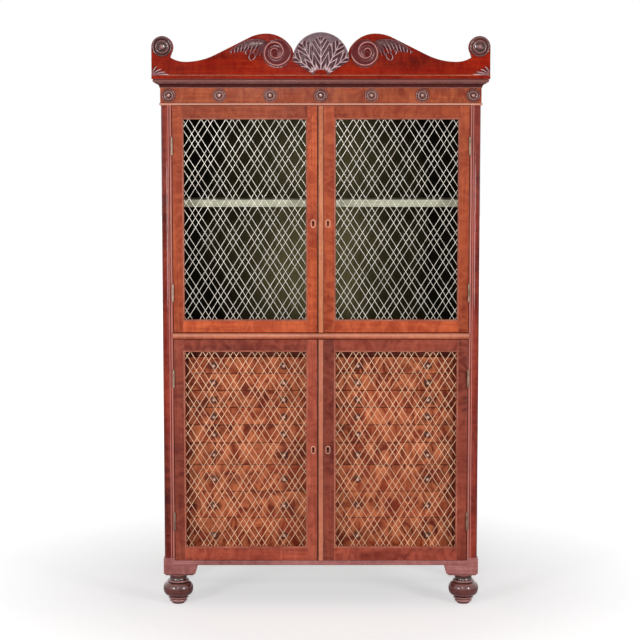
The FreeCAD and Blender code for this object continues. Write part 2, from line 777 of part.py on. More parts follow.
def acanthus(name):
    """The left-hand leaf that trails outwards from the scroll: four drooping fronds."""
    spines = (
        ((-200, 1984), (-206, 1968), (-211, 1954), (-213, 1941)),
        ((-204, 1995), (-217, 1979), (-230, 1960), (-238, 1940)),
        ((-206, 2004), (-230, 1990), (-253, 1969), (-268, 1944)),
        ((-208, 2012), (-245, 2001), (-285, 1977), (-318, 1955)),
    )
    leaves = [frond(spine, 9, 8, 0) for spine in spines]
    return place(shaped(name, leaves[0].fuse(leaves[1:])), y=PEDIMENT_FACE)


def corner_leaf(name):
    """The small leaf in the pediment's lower left corner: four fronds that spread out of the corner."""
    root = Vector(-size_of(PEDIMENT_HALF) + 6, 0, size_of(dim.cornice_top) + 20)
    leaves = [
        frond(straight_spine(root, degrees, length, (0.05, 0.45, 1)), 6, 7, 0)
        for degrees, length in ((82, 56), (60, 47), (36, 46), (12, 50))
    ]
    return place(shaped(name, leaves[0].fuse(leaves[1:])), y=PEDIMENT_FACE)


def rosette(name):
    """Right-hand turned rosette: a rim, a hollow and a button, on the round head of the board."""
    radius = size_of(dim.rosette_radius) - 1.5
    piece = shaped(name, faceted_turning([
        (radius, 0), (radius * 0.88, 8), (radius * 0.5, 4), (radius * 0.2, 11),
    ], 12))
    return place(piece, PEDIMENT_HALF - dim.rosette_radius, PEDIMENT_FACE, ROSETTE_HEIGHT)


node("pediment_board", pediment_board("pediment_board"))
node("pediment_shell", pediment_shell("pediment_shell"))
left_carving = [volute("volute_left"), acanthus("acanthus_left"), corner_leaf("corner_leaf_left")]
node("pediment_scrolls", *left_carving,
     *[mirrored(piece.Name.replace("left", "right"), piece) for piece in left_carving])
right_rosette = rosette("rosette_right")
node("pediment_rosettes", right_rosette, mirrored("rosette_left", right_rosette))


# ---------------------------------------------------------------------------
# Doors
# ---------------------------------------------------------------------------

HINGE_X = (POST_INNER + dim.door_edge) / 2
HINGE_Y = FRONT - dim.knuckle_radius - 0.6

DOORS = {
    "upper": (dim.upper_door_base, dim.upper_opening_base, dim.upper_opening_top, dim.upper_door_top),
    "lower": (dim.lower_door_base, dim.lower_opening_base, dim.lower_opening_top, dim.lower_door_top),
}


def door_span(side):
    """Inner and outer edges of a door: the doors meet left of the centre, under the astragal."""
    gap = dim.meeting_gap / 2
    meeting = -dim.meeting_line + gap if side > 0 else -dim.meeting_line - gap
    return (meeting, dim.door_edge) if side > 0 else (-dim.door_edge, meeting)


def opening_span(side):
    inner, outer = dim.opening_inner_edge, dim.opening_edge
    return (inner, outer) if side > 0 else (-outer, -inner)


BEAD_DEPTH = 8                  # of the moulding round an opening, front to back
BEAD_PROUD = 1.5                # how far it stands in front of the door's face
BEAD_CHAMFER = 2


def bead_slip(name, length, width, turn, x, z):
    """One mitred length of the moulding round an opening, with its two front edges taken off.

    It is drawn lying along +X with its long, outer edge at the bottom, then turned about Y.
    """
    body = padded(name, "XZ_Plane", [
        to(-width, -width), to(length + width, -width), to(length, 0), to(0, 0)], BEAD_DEPTH)
    doc.recompute()
    beyond, hair = 50, 0.01
    low = Vector(-beyond, -BEAD_DEPTH - hair, -beyond)
    high = Vector(length.value + beyond, -BEAD_DEPTH + hair, beyond)
    long_edges = [
        edge for edge in edges_between(body.Shape, low, high)
        if body.Shape.getElement(edge).BoundBox.ZLength < hair
    ]
    dressed(body, "Chamfer", name + "_chamfer", long_edges, "Size", BEAD_CHAMFER)
    body.Placement = Placement(Vector(0, 0, 0), Rotation(Vector(0, 1, 0), turn))
    return place(body, x, FRONT - BEAD_PROUD + BEAD_DEPTH, z)


def door_frame(level, hand, side):
    """Two stiles, two rails between them and the mitred bead round the opening."""
    name = f"{level}_{hand}_door"
    low, opening_low, opening_high, high = DOORS[level]
    left, right = door_span(side)
    inner_left, inner_right = opening_span(side)
    bead = dim.sight_bead
    depth = (FRONT, DOOR_BACK)
    between_stiles = (inner_left - bead, inner_right + bead)
    pieces = [
        block(name + "_left_stile", (left, inner_left - bead), depth, (low, high)),
        block(name + "_right_stile", (inner_right + bead, right), depth, (low, high)),
        block(name + "_bottom_rail", between_stiles, depth, (low, opening_low - bead)),
        block(name + "_top_rail", between_stiles, depth, (opening_high + bead, high)),
    ]
    across, up = inner_right - inner_left, opening_high - opening_low
    for edge, length, turn, x, z in (
            ("bottom", across, 0, inner_left, opening_low),
            ("right", up, -90, inner_right, opening_low),
            ("top", across, 180, inner_right, opening_high),
            ("left", up, 90, inner_left, opening_high)):
        pieces.append(bead_slip(f"{name}_{edge}_bead", length, bead, turn, x, z))
    return node(name + "_frame", *pieces)


def lattice_rods(left, right, bottom, top):
    """Both layers of slanting rods, cut to the rectangle they fill.

    In each layer every fourth rod is left out, and the gaps of the two layers cross on the
    opening's middle line at its top edge, so wide and narrow diamonds alternate.
    """
    pitch = size_of(dim.lattice_pitch)
    slope = math.radians(size_of(dim.lattice_slope))
    width = size_of(dim.rod_width)
    front = size_of(FRONT + dim.lattice_set_back)
    middle = (left + right) / 2
    height = top - bottom
    run = height / math.tan(slope)
    length = math.hypot(height, run) + width * 4
    reach = math.ceil(((right - left) / 2 + run) / pitch)
    rods = []
    for layer, lean in ((0, 1), (1, -1)):
        window = Part.makeBox(right - left, width, height, Vector(left, front + layer * width, bottom))
        for step in range(-reach, reach + 1):
            if step % 4 == 0:
                continue
            rod = Part.makeBox(length, width, width, Vector(-width * 2, 0, -width / 2))
            rod.rotate(Vector(0, 0, 0), Vector(0, 1, 0), 180 - math.degrees(slope) if lean > 0
                       else math.degrees(slope))
            rod.translate(Vector(middle + step * pitch, front + layer * width, top))
            piece = rod.common(window)
            if piece.Volume > width ** 3 * 4:
                rods += piece.Solids
    return rods


def door_lattice(level, hand, side):
    """The brass double lattice: a border strip on four sides and two layers of rods within it."""
    _, opening_low, opening_high, _ = DOORS[level]
    left, right = (size_of(edge) for edge in opening_span(side))
    bottom, top = size_of(opening_low), size_of(opening_high)
    border = size_of(dim.lattice_border)
    spare = size_of(dim.sight_bead) - border
    depth = size_of(dim.rod_width) * 2
    front = size_of(FRONT + dim.lattice_set_back)
    inside = [left - spare, right + spare, bottom - spare, top + spare]
    outside = [inside[0] - border, inside[1] + border, inside[2] - border, inside[3] + border]
    strips = [
        Part.makeBox(border, depth, outside[3] - outside[2], Vector(outside[0], front, outside[2])),
        Part.makeBox(border, depth, outside[3] - outside[2], Vector(inside[1], front, outside[2])),
        Part.makeBox(inside[1] - inside[0], depth, border, Vector(inside[0], front, outside[2])),
        Part.makeBox(inside[1] - inside[0], depth, border, Vector(inside[0], front, inside[3])),
    ]
    name = f"{level}_{hand}_lattice"
    feature = doc.addObject("Part::Feature", name)
    feature.Shape = Part.makeCompound(strips + lattice_rods(*inside))
    return node(name, feature)


def astragal(level):
    """The rounded strip down the meeting edge of a right-hand door."""
    low, _, _, high = DOORS[level]
    half, reach = dim.astragal_width / 2, dim.astragal_reach
    radius = (half * half + reach * reach) / (reach * 2)
    start = door_span(1)[0] + 0.5
    body = padded(f"{level}_astragal", "XY_Plane", [
        to(0, 0), arc(half, -reach, radius, 1), arc(half * 2, 0, radius, 1)], high - low)
    return node(f"{level}_astragal", place(body, start, FRONT, low))


def escutcheon(name):
    """A thin oval plate cut with a keyhole, lying on the plane of the door's face."""
    half_width, half_height, thickness, sides = 9, 13.5, 1.2, 10
    bow_radius, bow_height, slot_half, slot_foot = 3.2, 3.5, 1.6, -6.5
    oval = [Vector(half_width * corner.x, 0, half_height * corner.z) for corner in polygon_ring(1, sides)]
    bow = [corner + Vector(0, 0, bow_height) for corner in polygon_ring(bow_radius, 6)]
    slot = [Vector(x, 0, z) for x, z in ((-slot_half, slot_foot), (slot_half, slot_foot),
                                         (slot_half, bow_height), (-slot_half, bow_height))]
    front = Vector(0, -thickness, 0)
    plate, *holes = [flat_face(corners).extrude(front) for corners in (oval, bow, slot)]
    return shaped(name, plate.cut(holes))


def door_lock(level, hand, side):
    """A lock case let on behind the meeting stile, and an oval escutcheon in front of it."""
    name = f"{level}_{hand}_lock"
    height = KEYHOLE_HEIGHTS[level]
    centre = side * KEYHOLE_INSET - 1
    half, above, below, depth = 12.5, 24, 32, 11
    case = block(name + "_case", (centre - half, centre + half), (DOOR_BACK, DOOR_BACK + depth),
                 (height - below, height + above))
    plate = place(escutcheon(name + "_escutcheon"), centre, FRONT, height)
    return node(name, case, plate)


# ---------------------------------------------------------------------------
# Hinges
# ---------------------------------------------------------------------------

def hinge_halves():
    """The fixed and moving halves of a right-hand butt hinge, standing on its own lower end.

    The fixed half has the outer two knuckles and the pin; the moving half turns between them.
    The pivot is the local Z axis. The leaves lie either side of it, behind the door's face.
    """
    length, leaf, radius = (size_of(size) for size in (dim.hinge_length, dim.hinge_leaf, dim.knuckle_radius))
    pin = size_of(dim.pin_radius)
    bore = pin + size_of(dim.pin_clearance)
    knuckle_sides, pin_sides = 6, 8
    leaf_depth, end_gap = 17, 0.4
    face = size_of(FRONT - HINGE_Y)               # the door's face, from the pivot
    web_front = bore + 0.3
    third = length / 3
    low, high = third + end_gap, length - third - end_gap
    post_face = size_of(POST_INNER - HINGE_X)
    door_face = size_of(dim.door_edge - HINGE_X)

    def barrel(size, sides, start, stop):
        corners = [Vector(corner.x, corner.z, start) for corner in polygon_ring(size, sides)]
        return flat_face(corners).extrude(Vector(0, 0, stop - start))

    def plate(edge, start, stop, near, far):
        return Part.makeBox(leaf, far - near, stop - start, Vector(edge, near, start))

    fixed = barrel(radius, knuckle_sides, 0, third).fuse([
        barrel(radius, knuckle_sides, length - third, length), barrel(pin, pin_sides, 0, length),
        plate(post_face - leaf, 0, third, web_front, face + leaf_depth),
        plate(post_face - leaf, length - third, length, web_front, face + leaf_depth),
        plate(post_face - leaf, 0, length, face, face + leaf_depth),
    ])
    moving = barrel(radius, knuckle_sides, low, high).fuse([
        plate(door_face, low, high, web_front, face + leaf_depth),
        plate(door_face, 0, length, face, face + leaf_depth),
    ]).cut(barrel(bore, pin_sides, 0, length))
    return fixed.removeSplitter(), moving.removeSplitter()


def hinge_pieces(level, hand, side, half, shape):
    """One half of both hinges of a door, at their heights."""
    pieces = []
    for place_on_door, base in zip(("lower", "upper"), HINGE_BASES[level]):
        name = f"{level}_{hand}_{place_on_door}_{half}_hinge_half"
        own = shape if side > 0 else shape.mirror(Vector(0, 0, 0), Vector(1, 0, 0))
        pieces.append(place(shaped(name, own), HINGE_X * side, HINGE_Y, base))
    return pieces


SIDES = (("left", -1), ("right", 1))
fixed_half, moving_half = hinge_halves()
fixed_hinge_leaves = []
for level in ("upper", "lower"):
    for hand, side in SIDES:
        door_frame(level, hand, side)
        door_lattice(level, hand, side)
        door_lock(level, hand, side)
        fixed_hinge_leaves += hinge_pieces(level, hand, side, "fixed", fixed_half)
        node(f"{level}_{hand}_hinge_leaves", *hinge_pieces(level, hand, side, "moving", moving_half))
    astragal(level)
node("fixed_hinge_leaves", *fixed_hinge_leaves)


# ---------------------------------------------------------------------------
# Drawer banks
# ---------------------------------------------------------------------------

BANK_OUTER = dim.drawer_outer_edge + dim.drawer_gap
BANK_INNER = dim.drawer_inner_edge - dim.drawer_gap
BANK_WALL = dim.panel
BANK_TOP = dim.bank_top + dim.drawer_gap
BANK_COVER = 12                 # thickness of the board that lies over both banks


def bank_upright(name, left, right):
    return block(name, (left, right), (DRAWER_FACE, BOARD_FRONT), (BOTTOM_STOP, BANK_TOP))


node("bank_frame",
     bank_upright("bank_left_wall", -BANK_OUTER - BANK_WALL, -BANK_OUTER),
     bank_upright("bank_divider", -BANK_INNER, BANK_INNER),
     bank_upright("bank_right_wall", BANK_OUTER, BANK_OUTER + BANK_WALL),
     block("bank_cover", (-BANK_OUTER - BANK_WALL, BANK_OUTER + BANK_WALL),
           (DRAWER_FACE + dim.drawer_front, BOARD_FRONT), (BANK_TOP, BANK_TOP + BANK_COVER)))

KNOB_SHARE = 0.48               # a knob's height within its drawer front, from the bottom
RUNNER = (12, 6)                # a runner's width and height
DRAWER_LIFT = 7.5               # drawer side above the bottom of its cell, clear of the runner


def knob(name, x, z):
    """A turned knob that flares from its stem to a wide rim and a flattened dome."""
    radius, reach = size_of(dim.knob_radius), size_of(dim.knob_reach)
    shape = faceted_turning([(radius * 0.45, 0), (radius, reach * 0.65), (radius * 0.5, reach)], 6)
    return place(shaped(name, shape), x, DRAWER_FACE, z)


def drawer(hand, side, row, bottom, pitch):
    """A lipless drawer: front, two sides, back and bottom boards and two knobs."""
    name = f"drawer_{hand}_{row}"
    left, right = ((dim.drawer_inner_edge, dim.drawer_outer_edge) if side > 0
                   else (-dim.drawer_outer_edge, -dim.drawer_inner_edge))
    low, high = bottom + dim.drawer_gap, bottom + pitch - dim.drawer_gap
    side_low, side_high = bottom + DRAWER_LIFT, bottom + pitch - 8
    front_back = DRAWER_FACE + dim.drawer_front
    rear = DRAWER_FACE + dim.drawer_length
    wall, clear, base_thickness = dim.drawer_side, 1, 5
    box_left, box_right = left + clear, right - clear
    middle = (left + right) / 2
    knob_height = bottom + pitch * KNOB_SHARE
    return node(
        name,
        block(name + "_front", (left, right), (DRAWER_FACE, front_back), (low, high)),
        block(name + "_left_side", (box_left, box_left + wall), (front_back, rear), (side_low, side_high)),
        block(name + "_right_side", (box_right - wall, box_right), (front_back, rear), (side_low, side_high)),
        block(name + "_back", (box_left + wall, box_right - wall), (rear - wall, rear),
              (side_low + base_thickness, side_high)),
        block(name + "_bottom", (box_left + wall, box_right - wall), (front_back, rear),
              (side_low, side_low + base_thickness)),
        knob(name + "_left_knob", middle - dim.knob_spacing / 2, knob_height),
        knob(name + "_right_knob", middle + dim.knob_spacing / 2, knob_height))


def runners(hand, side, row, bottom):
    """The pair of strips that a drawer slides on, on the walls either side of it."""
    width, height = RUNNER
    low = bottom + dim.drawer_gap
    depth = (DRAWER_FACE + dim.drawer_front + 2, BOARD_FRONT)
    outer, inner = (BANK_OUTER - width, BANK_OUTER), (BANK_INNER, BANK_INNER + width)
    if side < 0:
        outer, inner = (-outer[1], -outer[0]), (-inner[1], -inner[0])
    return [
        block(f"runner_{hand}_{row}_{label}", across, depth, (low, low + height))
        for label, across in (("outer", outer), ("inner", inner))
    ]


all_runners = []
for hand, side in SIDES:
    bottom = dim.bank_top
    for row, pitch in enumerate(dim.pitches, start=1):
        bottom = bottom - pitch
        drawer(hand, side, row, bottom, pitch)
        all_runners += runners(hand, side, row, bottom)
node("drawer_runners", *all_runners)


# ---------------------------------------------------------------------------
# Check and write
# ---------------------------------------------------------------------------

doc.recompute()
failed = [thing.Label for thing in doc.Objects if {"Invalid", "Error"} & set(thing.State)]
if failed:
    raise RuntimeError(f"objects failed to compute: {failed}")
for part in nodes:
    if part.Shape.isNull() or not part.Shape.isValid() or not part.Shape.Solids:
        raise RuntimeError(f"{part.Label} has no valid solid")

os.makedirs("parts", exist_ok=True)
for part in nodes:
    part.Shape.exportStep(os.path.join("parts", part.Label + ".step"))
print(f"{len(nodes)} sub-parts, {sum(len(part.Shape.Solids) for part in nodes)} solids")
overall = Part.makeCompound([part.Shape for part in nodes]).BoundBox
print(f"overall {overall.XLength:.1f} x {overall.YLength:.1f} x {overall.ZLength:.1f} mm,"
      f" centre {overall.Center.x:.2f}, {overall.Center.y:.2f}")
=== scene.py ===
# %% [markdown]
# # A specimen cabinet with brass lattice doors
#
# The cabinet is about two metres tall: turned feet, a case with rounded corner posts, two
# pairs of doors filled with brass lattice, drawers behind the lower pair, a frieze with turned
# bosses, and a carved swan-neck pediment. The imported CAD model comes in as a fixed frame. It
# gives every size and every moving body. Pieces made here sit on that frame, and each one says
# which body carries it, so that doors and drawers still open.

# %% The frame
import math

import bmesh
import bpy
from mathutils import Matrix, Vector


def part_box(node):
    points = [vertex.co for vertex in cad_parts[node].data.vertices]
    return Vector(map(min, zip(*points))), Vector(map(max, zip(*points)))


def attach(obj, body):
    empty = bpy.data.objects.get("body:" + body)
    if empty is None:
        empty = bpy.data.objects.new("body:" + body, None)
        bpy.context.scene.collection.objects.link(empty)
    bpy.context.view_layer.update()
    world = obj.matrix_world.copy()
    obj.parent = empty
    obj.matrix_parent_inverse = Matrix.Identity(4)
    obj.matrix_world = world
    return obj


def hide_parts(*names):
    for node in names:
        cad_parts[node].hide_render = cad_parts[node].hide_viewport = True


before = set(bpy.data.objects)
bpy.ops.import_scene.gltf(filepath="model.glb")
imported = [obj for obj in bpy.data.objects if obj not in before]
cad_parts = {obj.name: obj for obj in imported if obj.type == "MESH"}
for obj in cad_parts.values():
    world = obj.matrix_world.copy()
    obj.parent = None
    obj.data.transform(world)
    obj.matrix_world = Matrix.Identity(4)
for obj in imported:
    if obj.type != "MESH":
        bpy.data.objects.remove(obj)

scene = bpy.context.scene
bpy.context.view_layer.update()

# %% [markdown]
# ## Working in millimetres
#
# A cabinet maker's sizes are in millimetres and Blender's are in metres. Each mesh is modelled
# in millimetres and made smaller once, when it is finished. That keeps the numbers readable,
# and the object itself stays unscaled at the origin.

# %% Sizes read from the frame
MM = 0.001
ACROSS, DEEP, UP = range(3)


def extent(node):
    """Lowest and highest corner of a CAD node, in millimetres, as one pair for each axis."""
    low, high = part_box(node)
    return [(a / MM, b / MM) for a, b in zip(low, high)]


HANDS = {"left": -1, "right": 1}
CASE = extent("case_sides")
HALF_WIDTH = CASE[ACROSS][1]
BACK = CASE[DEEP][1]
FRONT = extent("corner_posts")[DEEP][0]
print(f"case {HALF_WIDTH * 2:.0f} wide, {BACK - FRONT:.0f} deep")

# %% [markdown]
# ## Grain that follows each board
#
# Wood grain runs along the length of a board: up a stile, across a rail. If the pattern read
# plain object coordinates, it would run the same way through both. So every vertex keeps its
# own place in the plank it was cut from, in an attribute called `grain`: first along the
# grain, then across it, then through it. A shift for each board stops neighbours from
# matching, and a second attribute, `tone`, makes a board lighter or darker than its
# neighbours. Boards are added to a mesh one after another, and only the vertices that have no
# grain yet get it.

# %% Grain attribute
PLANK_AXES = {"across": (0, 1, 2), "up": (2, 0, 1), "deep": (1, 0, 2)}
PLANK_SHIFT = (0.7310, 0.3170, 0.1930)  # metres, from one board's grain to the next board's


def start_mesh():
    """An empty mesh whose vertices can keep their place in a plank and their carved height."""
    mesh = bmesh.new()
    mesh.verts.layers.float_vector.new("grain")
    mesh.verts.layers.float.new("ridge")
    mesh.verts.layers.float.new("tone")
    mesh.verts.layers.int.new("laid")
    return mesh


def newest(mesh):
    """The vertices that have no grain yet."""
    laid = mesh.verts.layers.int["laid"]
    return [vert for vert in mesh.verts if not vert[laid]]


def faces_of(verts):
    return list(dict.fromkeys(face for vert in verts for face in vert.link_faces))


def edges_of(verts):
    return list(dict.fromkeys(edge for vert in verts for edge in vert.link_edges))


def lay_grain(mesh, along, board=0, tone=0.0):
    """Give the newest vertices their place in a plank whose grain runs across, up or deep."""
    grain, laid = mesh.verts.layers.float_vector["grain"], mesh.verts.layers.int["laid"]
    tones = mesh.verts.layers.float["tone"]
    shift = Vector([board * step for step in PLANK_SHIFT])
    for vert in newest(mesh):
        vert[laid] = 1
        vert[tones] = tone
        vert[grain] = Vector([vert.co[axis] for axis in PLANK_AXES[along]]) * MM + shift


# %% [markdown]
# ## From a bmesh to a piece
#
# Every piece ends in the same way: millimetres become metres, faces are shaded smooth except
# at real edges, the piece gets its material, it is parented to the empty of the body it rides
# on, and the CAD nodes it stands for are hidden. One function does that, so no piece can be
# forgotten. Boards need a smaller angle than turnings. Otherwise the shading of a small eased
# edge would spread over the whole flat face next to it. Carving needs a larger one, because
# its ridges are soft.

# %% Finishing a piece
FLAT, TURNED, CARVED = 20, 35, 60  # degrees between faces, above which an edge stays sharp
HAIRLINE = 0.0001  # points closer than this are one point


def finish(mesh, name, body, material, replaces=(), sharp=TURNED):
    """Turn a bmesh in millimetres into an object that rides on a body."""
    bmesh.ops.dissolve_degenerate(mesh, dist=HAIRLINE, edges=mesh.edges[:])
    bmesh.ops.scale(mesh, vec=(MM, MM, MM), verts=mesh.verts)
    mesh.verts.layers.int.remove(mesh.verts.layers.int["laid"])
    data = bpy.data.meshes.new(name)
    mesh.to_mesh(data)
    mesh.free()
    data.shade_smooth()
    data.set_sharp_from_angle(angle=math.radians(sharp))
    data.materials.append(material)
    piece = bpy.data.objects.new(name, data)
    scene.collection.objects.link(piece)
    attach(piece, body)
    if replaces:
        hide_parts(*replaces)
    return piece


# %% [markdown]
# ## Four ways of working wood
#
# Most of the cabinet comes from four operations. A **board** is a cube with its edges eased by
# a bevel. A **run** is an outline pushed along a straight line, like a moulding pushed through
# a plane. A **turning** is a profile spun on a lathe. A **moulding** follows a path with
# mitred corners, and is bridged from one profile line to the next.

# %% Boards
def bevel(mesh, edges, size, steps):
    """Round some edges, or chamfer them in one step."""
    bmesh.ops.bevel(mesh, geom=edges, offset=size, offset_type="OFFSET", segments=steps,
                    profile=0.5, affect="EDGES", clamp_overlap=True, material=-1)


def board(mesh, across, deep, up, ease=0.8, steps=2):
    """A rectangular board with its edges eased."""
    verts = bmesh.ops.create_cube(mesh, size=1)["verts"]
    spans = (across, deep, up)
    bmesh.ops.scale(mesh, vec=[high - low for low, high in spans], verts=verts)
    bmesh.ops.translate(mesh, vec=[(low + high) / 2 for low, high in spans], verts=verts)
    bevel(mesh, edges_of(verts), ease, steps)


# %% Arcs and outlines
def arc(centre, radius, start, end, steps):
    """Points on an arc, with angles in degrees from the first axis towards the second."""
    angles = [math.radians(start + (end - start) * step / steps) for step in range(steps + 1)]
    return [(centre[0] + radius * math.cos(a), centre[1] + radius * math.sin(a)) for a in angles]


def arc_through(start, end, radius, side, steps):
    """Points from start to end on an arc of a given radius that bulges to one side."""
    (x, y), (far_x, far_y) = start, end
    chord = math.hypot(far_x - x, far_y - y)
    rise = math.sqrt(max(radius ** 2 - chord ** 2 / 4, 0))
    middle = ((x + far_x) / 2, (y + far_y) / 2)
    normal = (-(far_y - y) / chord, (far_x - x) / chord)
    centre = (middle[0] + normal[0] * rise * side, middle[1] + normal[1] * rise * side)
    first = math.atan2(y - centre[1], x - centre[0])
    last = math.atan2(far_y - centre[1], far_x - centre[0])
    turn = (last - first + math.pi) % (2 * math.pi) - math.pi
    angles = [first + turn * step / steps for step in range(steps + 1)]
    return [(centre[0] + radius * math.cos(a), centre[1] + radius * math.sin(a)) for a in angles]


# %% Runs
RUN_PLANES = {  # where an outline's two numbers go, and the axis it is pushed along
    "across": (DEEP, UP, ACROSS),
    "up": (ACROSS, DEEP, UP),
    "deep": (ACROSS, UP, DEEP),
}
PLAIN = 0.5  # the ridge mark of wood that is neither a groove nor a crest


def run(mesh, outline, along, low, high, marks=None):
    """Push a closed outline along an axis, and return the new vertices."""
    first, second, axis = RUN_PLANES[along]
    ridge = mesh.verts.layers.float["ridge"]
    verts = []
    for (a, b), mark in zip(outline, marks or [PLAIN] * len(outline)):
        place = [0, 0, 0]
        place[first], place[second], place[axis] = a, b, low
        verts.append(mesh.verts.new(place))
        verts[-1][ridge] = mark
    face = mesh.faces.new(verts)
    pushed = bmesh.ops.extrude_face_region(mesh, geom=[face], use_keep_orig=True)["geom"]
    moved = [item for item in pushed if isinstance(item, bmesh.types.BMVert)]
    travel = [0, 0, 0]
    travel[axis] = high - low
    bmesh.ops.translate(mesh, vec=travel, verts=moved)
    everything = verts + moved
    bmesh.ops.recalc_face_normals(mesh, faces=faces_of(everything))
    return everything


# %% Turnings
TURNED_REACH, MOULDED_REACH = 5, 4  # how far away a profile's neighbouring points are sought


def point_along(profile, place):
    """The point of a profile at a distance along it."""
    for (x, y), (far_x, far_y) in zip(profile, profile[1:]):
        length = math.hypot(far_x - x, far_y - y)
        if place <= length:
            share = max(place, 0) / length
            return x + (far_x - x) * share, y + (far_y - y) * share
        place -= length
    return profile[-1]


def fullness(profile, reach):
    """How far each point of a profile stands out from its neighbours, from 0 in a groove to 1."""
    full, place = [], 0
    for number, (x, y) in enumerate(profile):
        if number:
            place += math.dist((x, y), profile[number - 1])
        (x0, y0), (x1, y1) = (point_along(profile, place + step) for step in (-reach, reach))
        span = math.hypot(x1 - x0, y1 - y0) or 1
        stands = ((x - (x0 + x1) / 2) * (y1 - y0) - (y - (y0 + y1) / 2) * (x1 - x0)) / span
        full.append(min(1, max(0, PLAIN + stands / reach)))
    return full


def turning(mesh, profile, centre, sides, axis=(0, 0, 1), outward=(1, 0, 0), marks=None):
    """Spin a profile of (radius, height) points about an axis, as a lathe does."""
    ridge = mesh.verts.layers.float["ridge"]
    centre, axis, outward = Vector(centre), Vector(axis), Vector(outward)
    verts = []
    for (radius, height), full in zip(profile, marks or fullness(profile, TURNED_REACH)):
        verts.append(mesh.verts.new(centre + outward * radius + axis * height))
        verts[-1][ridge] = full
    edges = [mesh.edges.new(pair) for pair in zip(verts, verts[1:])]
    bmesh.ops.spin(mesh, geom=verts + edges, cent=centre, axis=axis, dvec=(0, 0, 0),
                   angle=math.tau, steps=sides, use_merge=True, use_duplicate=False)
    bmesh.ops.remove_doubles(mesh, verts=newest(mesh), dist=0.001)
    bmesh.ops.recalc_face_normals(mesh, faces=faces_of(newest(mesh)))


def face_turning(mesh, profile, place, sides, marks=None):
    """A turning that looks out of the front of the cabinet."""
    turning(mesh, profile, place, sides, axis=(0, -1, 0), outward=(0, 0, 1), marks=marks)


# %% Mouldings
def face_outwards(mesh):
    """Point the newest faces outwards. A ring can come out of the recalculation inside out."""
    faces = faces_of(newest(mesh))
    bmesh.ops.recalc_face_normals(mesh, faces=faces)
    volume = sum(face.calc_center_median().dot(face.normal) * face.calc_area() for face in faces)
    if volume < 0:
        bmesh.ops.reverse_faces(mesh, faces=faces)


def moulding(mesh, lines, closed_path, marks=None):
    """Bridge a moulding from its lines. Each line follows the path at one profile point."""
    ridge = mesh.verts.layers.float["ridge"]
    chains = []
    for line, mark in zip(lines, marks or [PLAIN] * len(lines)):
        verts = [mesh.verts.new(point) for point in line]
        for vert in verts:
            vert[ridge] = mark
        pairs = list(zip(verts, verts[1:])) + ([(verts[-1], verts[0])] if closed_path else [])
        chains.append([mesh.edges.new(pair) for pair in pairs])
    for chain, next_chain in zip(chains, chains[1:] + chains[:1]):
        bmesh.ops.bridge_loops(mesh, edges=chain + next_chain)
    open_edges = [edge for edge in edges_of(newest(mesh)) if edge.is_boundary]
    if open_edges:
        bmesh.ops.holes_fill(mesh, edges=open_edges, sides=0)
    face_outwards(mesh)


# %% [markdown]
# ## Shader groups
#
# Old polished mahogany is several things at once: broad bands of darker and redder wood, fine
# streaks along the grain, rippled figure across it, and open pores. The polish is worn thin
# and paler along edges, dark with dirt in grooves, and hazy where hands and cloths have
# rubbed. The pale edges and crests also stand for painted highlights, and the dark grooves
# for painted shade. Brass tarnishes and paint keeps its brush marks. Each of these is a group
# of nodes, built once here and used in many finishes with different numbers. A group only
# puts out colours, masks and heights. The shader itself stays in the material.

# %% Node helpers
SOCKETS = {"vector": "NodeSocketVector", "colour": "NodeSocketColor", "number": "NodeSocketFloat"}


def paint(red, green, blue):
    """A colour as read from a screen, in the linear numbers that nodes use."""
    shares = (red / 255, green / 255, blue / 255)
    linear = [c / 12.92 if c <= 0.04045 else ((c + 0.055) / 1.055) ** 2.4 for c in shares]
    return (*linear, 1)


def add(tree, kind, sockets=None, **settings):
    """Add a node, with values or links for its inputs."""
    made = tree.nodes.new(kind)
    for name, value in settings.items():
        setattr(made, name, value)
    for socket, value in (sockets or {}).items():
        if isinstance(value, bpy.types.NodeSocket):
            tree.links.new(value, made.inputs[socket])
        else:
            made.inputs[socket].default_value = value
    return made


def calc(tree, operation, *values, clamp=False):
    return add(tree, "ShaderNodeMath", dict(enumerate(values)), operation=operation,
               use_clamp=clamp).outputs[0]


def plus(tree, first, second, clamp=False):
    return calc(tree, "ADD", first, second, clamp=clamp)


def times(tree, first, second):
    return calc(tree, "MULTIPLY", first, second)


def spread(tree, value, low, high, to_low=0, to_high=1):
    """Stretch a value from one range to another, and clamp it there."""
    sockets = {0: value, 1: low, 2: high, 3: to_low, 4: to_high}
    return add(tree, "ShaderNodeMapRange", sockets).outputs[0]


def mix(tree, share, first, second):
    return add(tree, "ShaderNodeMix", {0: share, 6: first, 7: second}, data_type="RGBA").outputs[2]


def stretched_noise(tree, place, stretch, detail=3, distortion=0.0):
    """Noise on a place multiplied by its own number along, across and through the grain."""
    scaled = add(tree, "ShaderNodeVectorMath", {0: place, 1: stretch}, operation="MULTIPLY")
    return add(tree, "ShaderNodeTexNoise", {
        "Vector": scaled.outputs[0], "Scale": 1.0, "Detail": detail, "Roughness": 0.55,
        "Distortion": distortion}).outputs[0]


def distance_from_origin(tree, place):
    return add(tree, "ShaderNodeVectorMath", {0: place}, operation="LENGTH").outputs["Value"]


def start_group(name, inputs, outputs):
    """A new shader group. Returns its tree, what it is given and the sockets of its results."""
    tree = bpy.data.node_groups.new(name, "ShaderNodeTree")
    for in_out, sockets in (("INPUT", inputs), ("OUTPUT", outputs)):
        for label, kind in sockets.items():
            tree.interface.new_socket(label, in_out=in_out, socket_type=SOCKETS[kind])
    given = tree.nodes.new("NodeGroupInput").outputs
    return tree, given, tree.nodes.new("NodeGroupOutput").inputs


def effect(tree, group, **sockets):
    """Place a group in a material and return its outputs."""
    return add(tree, "ShaderNodeGroup", sockets, node_tree=bpy.data.node_groups[group]).outputs


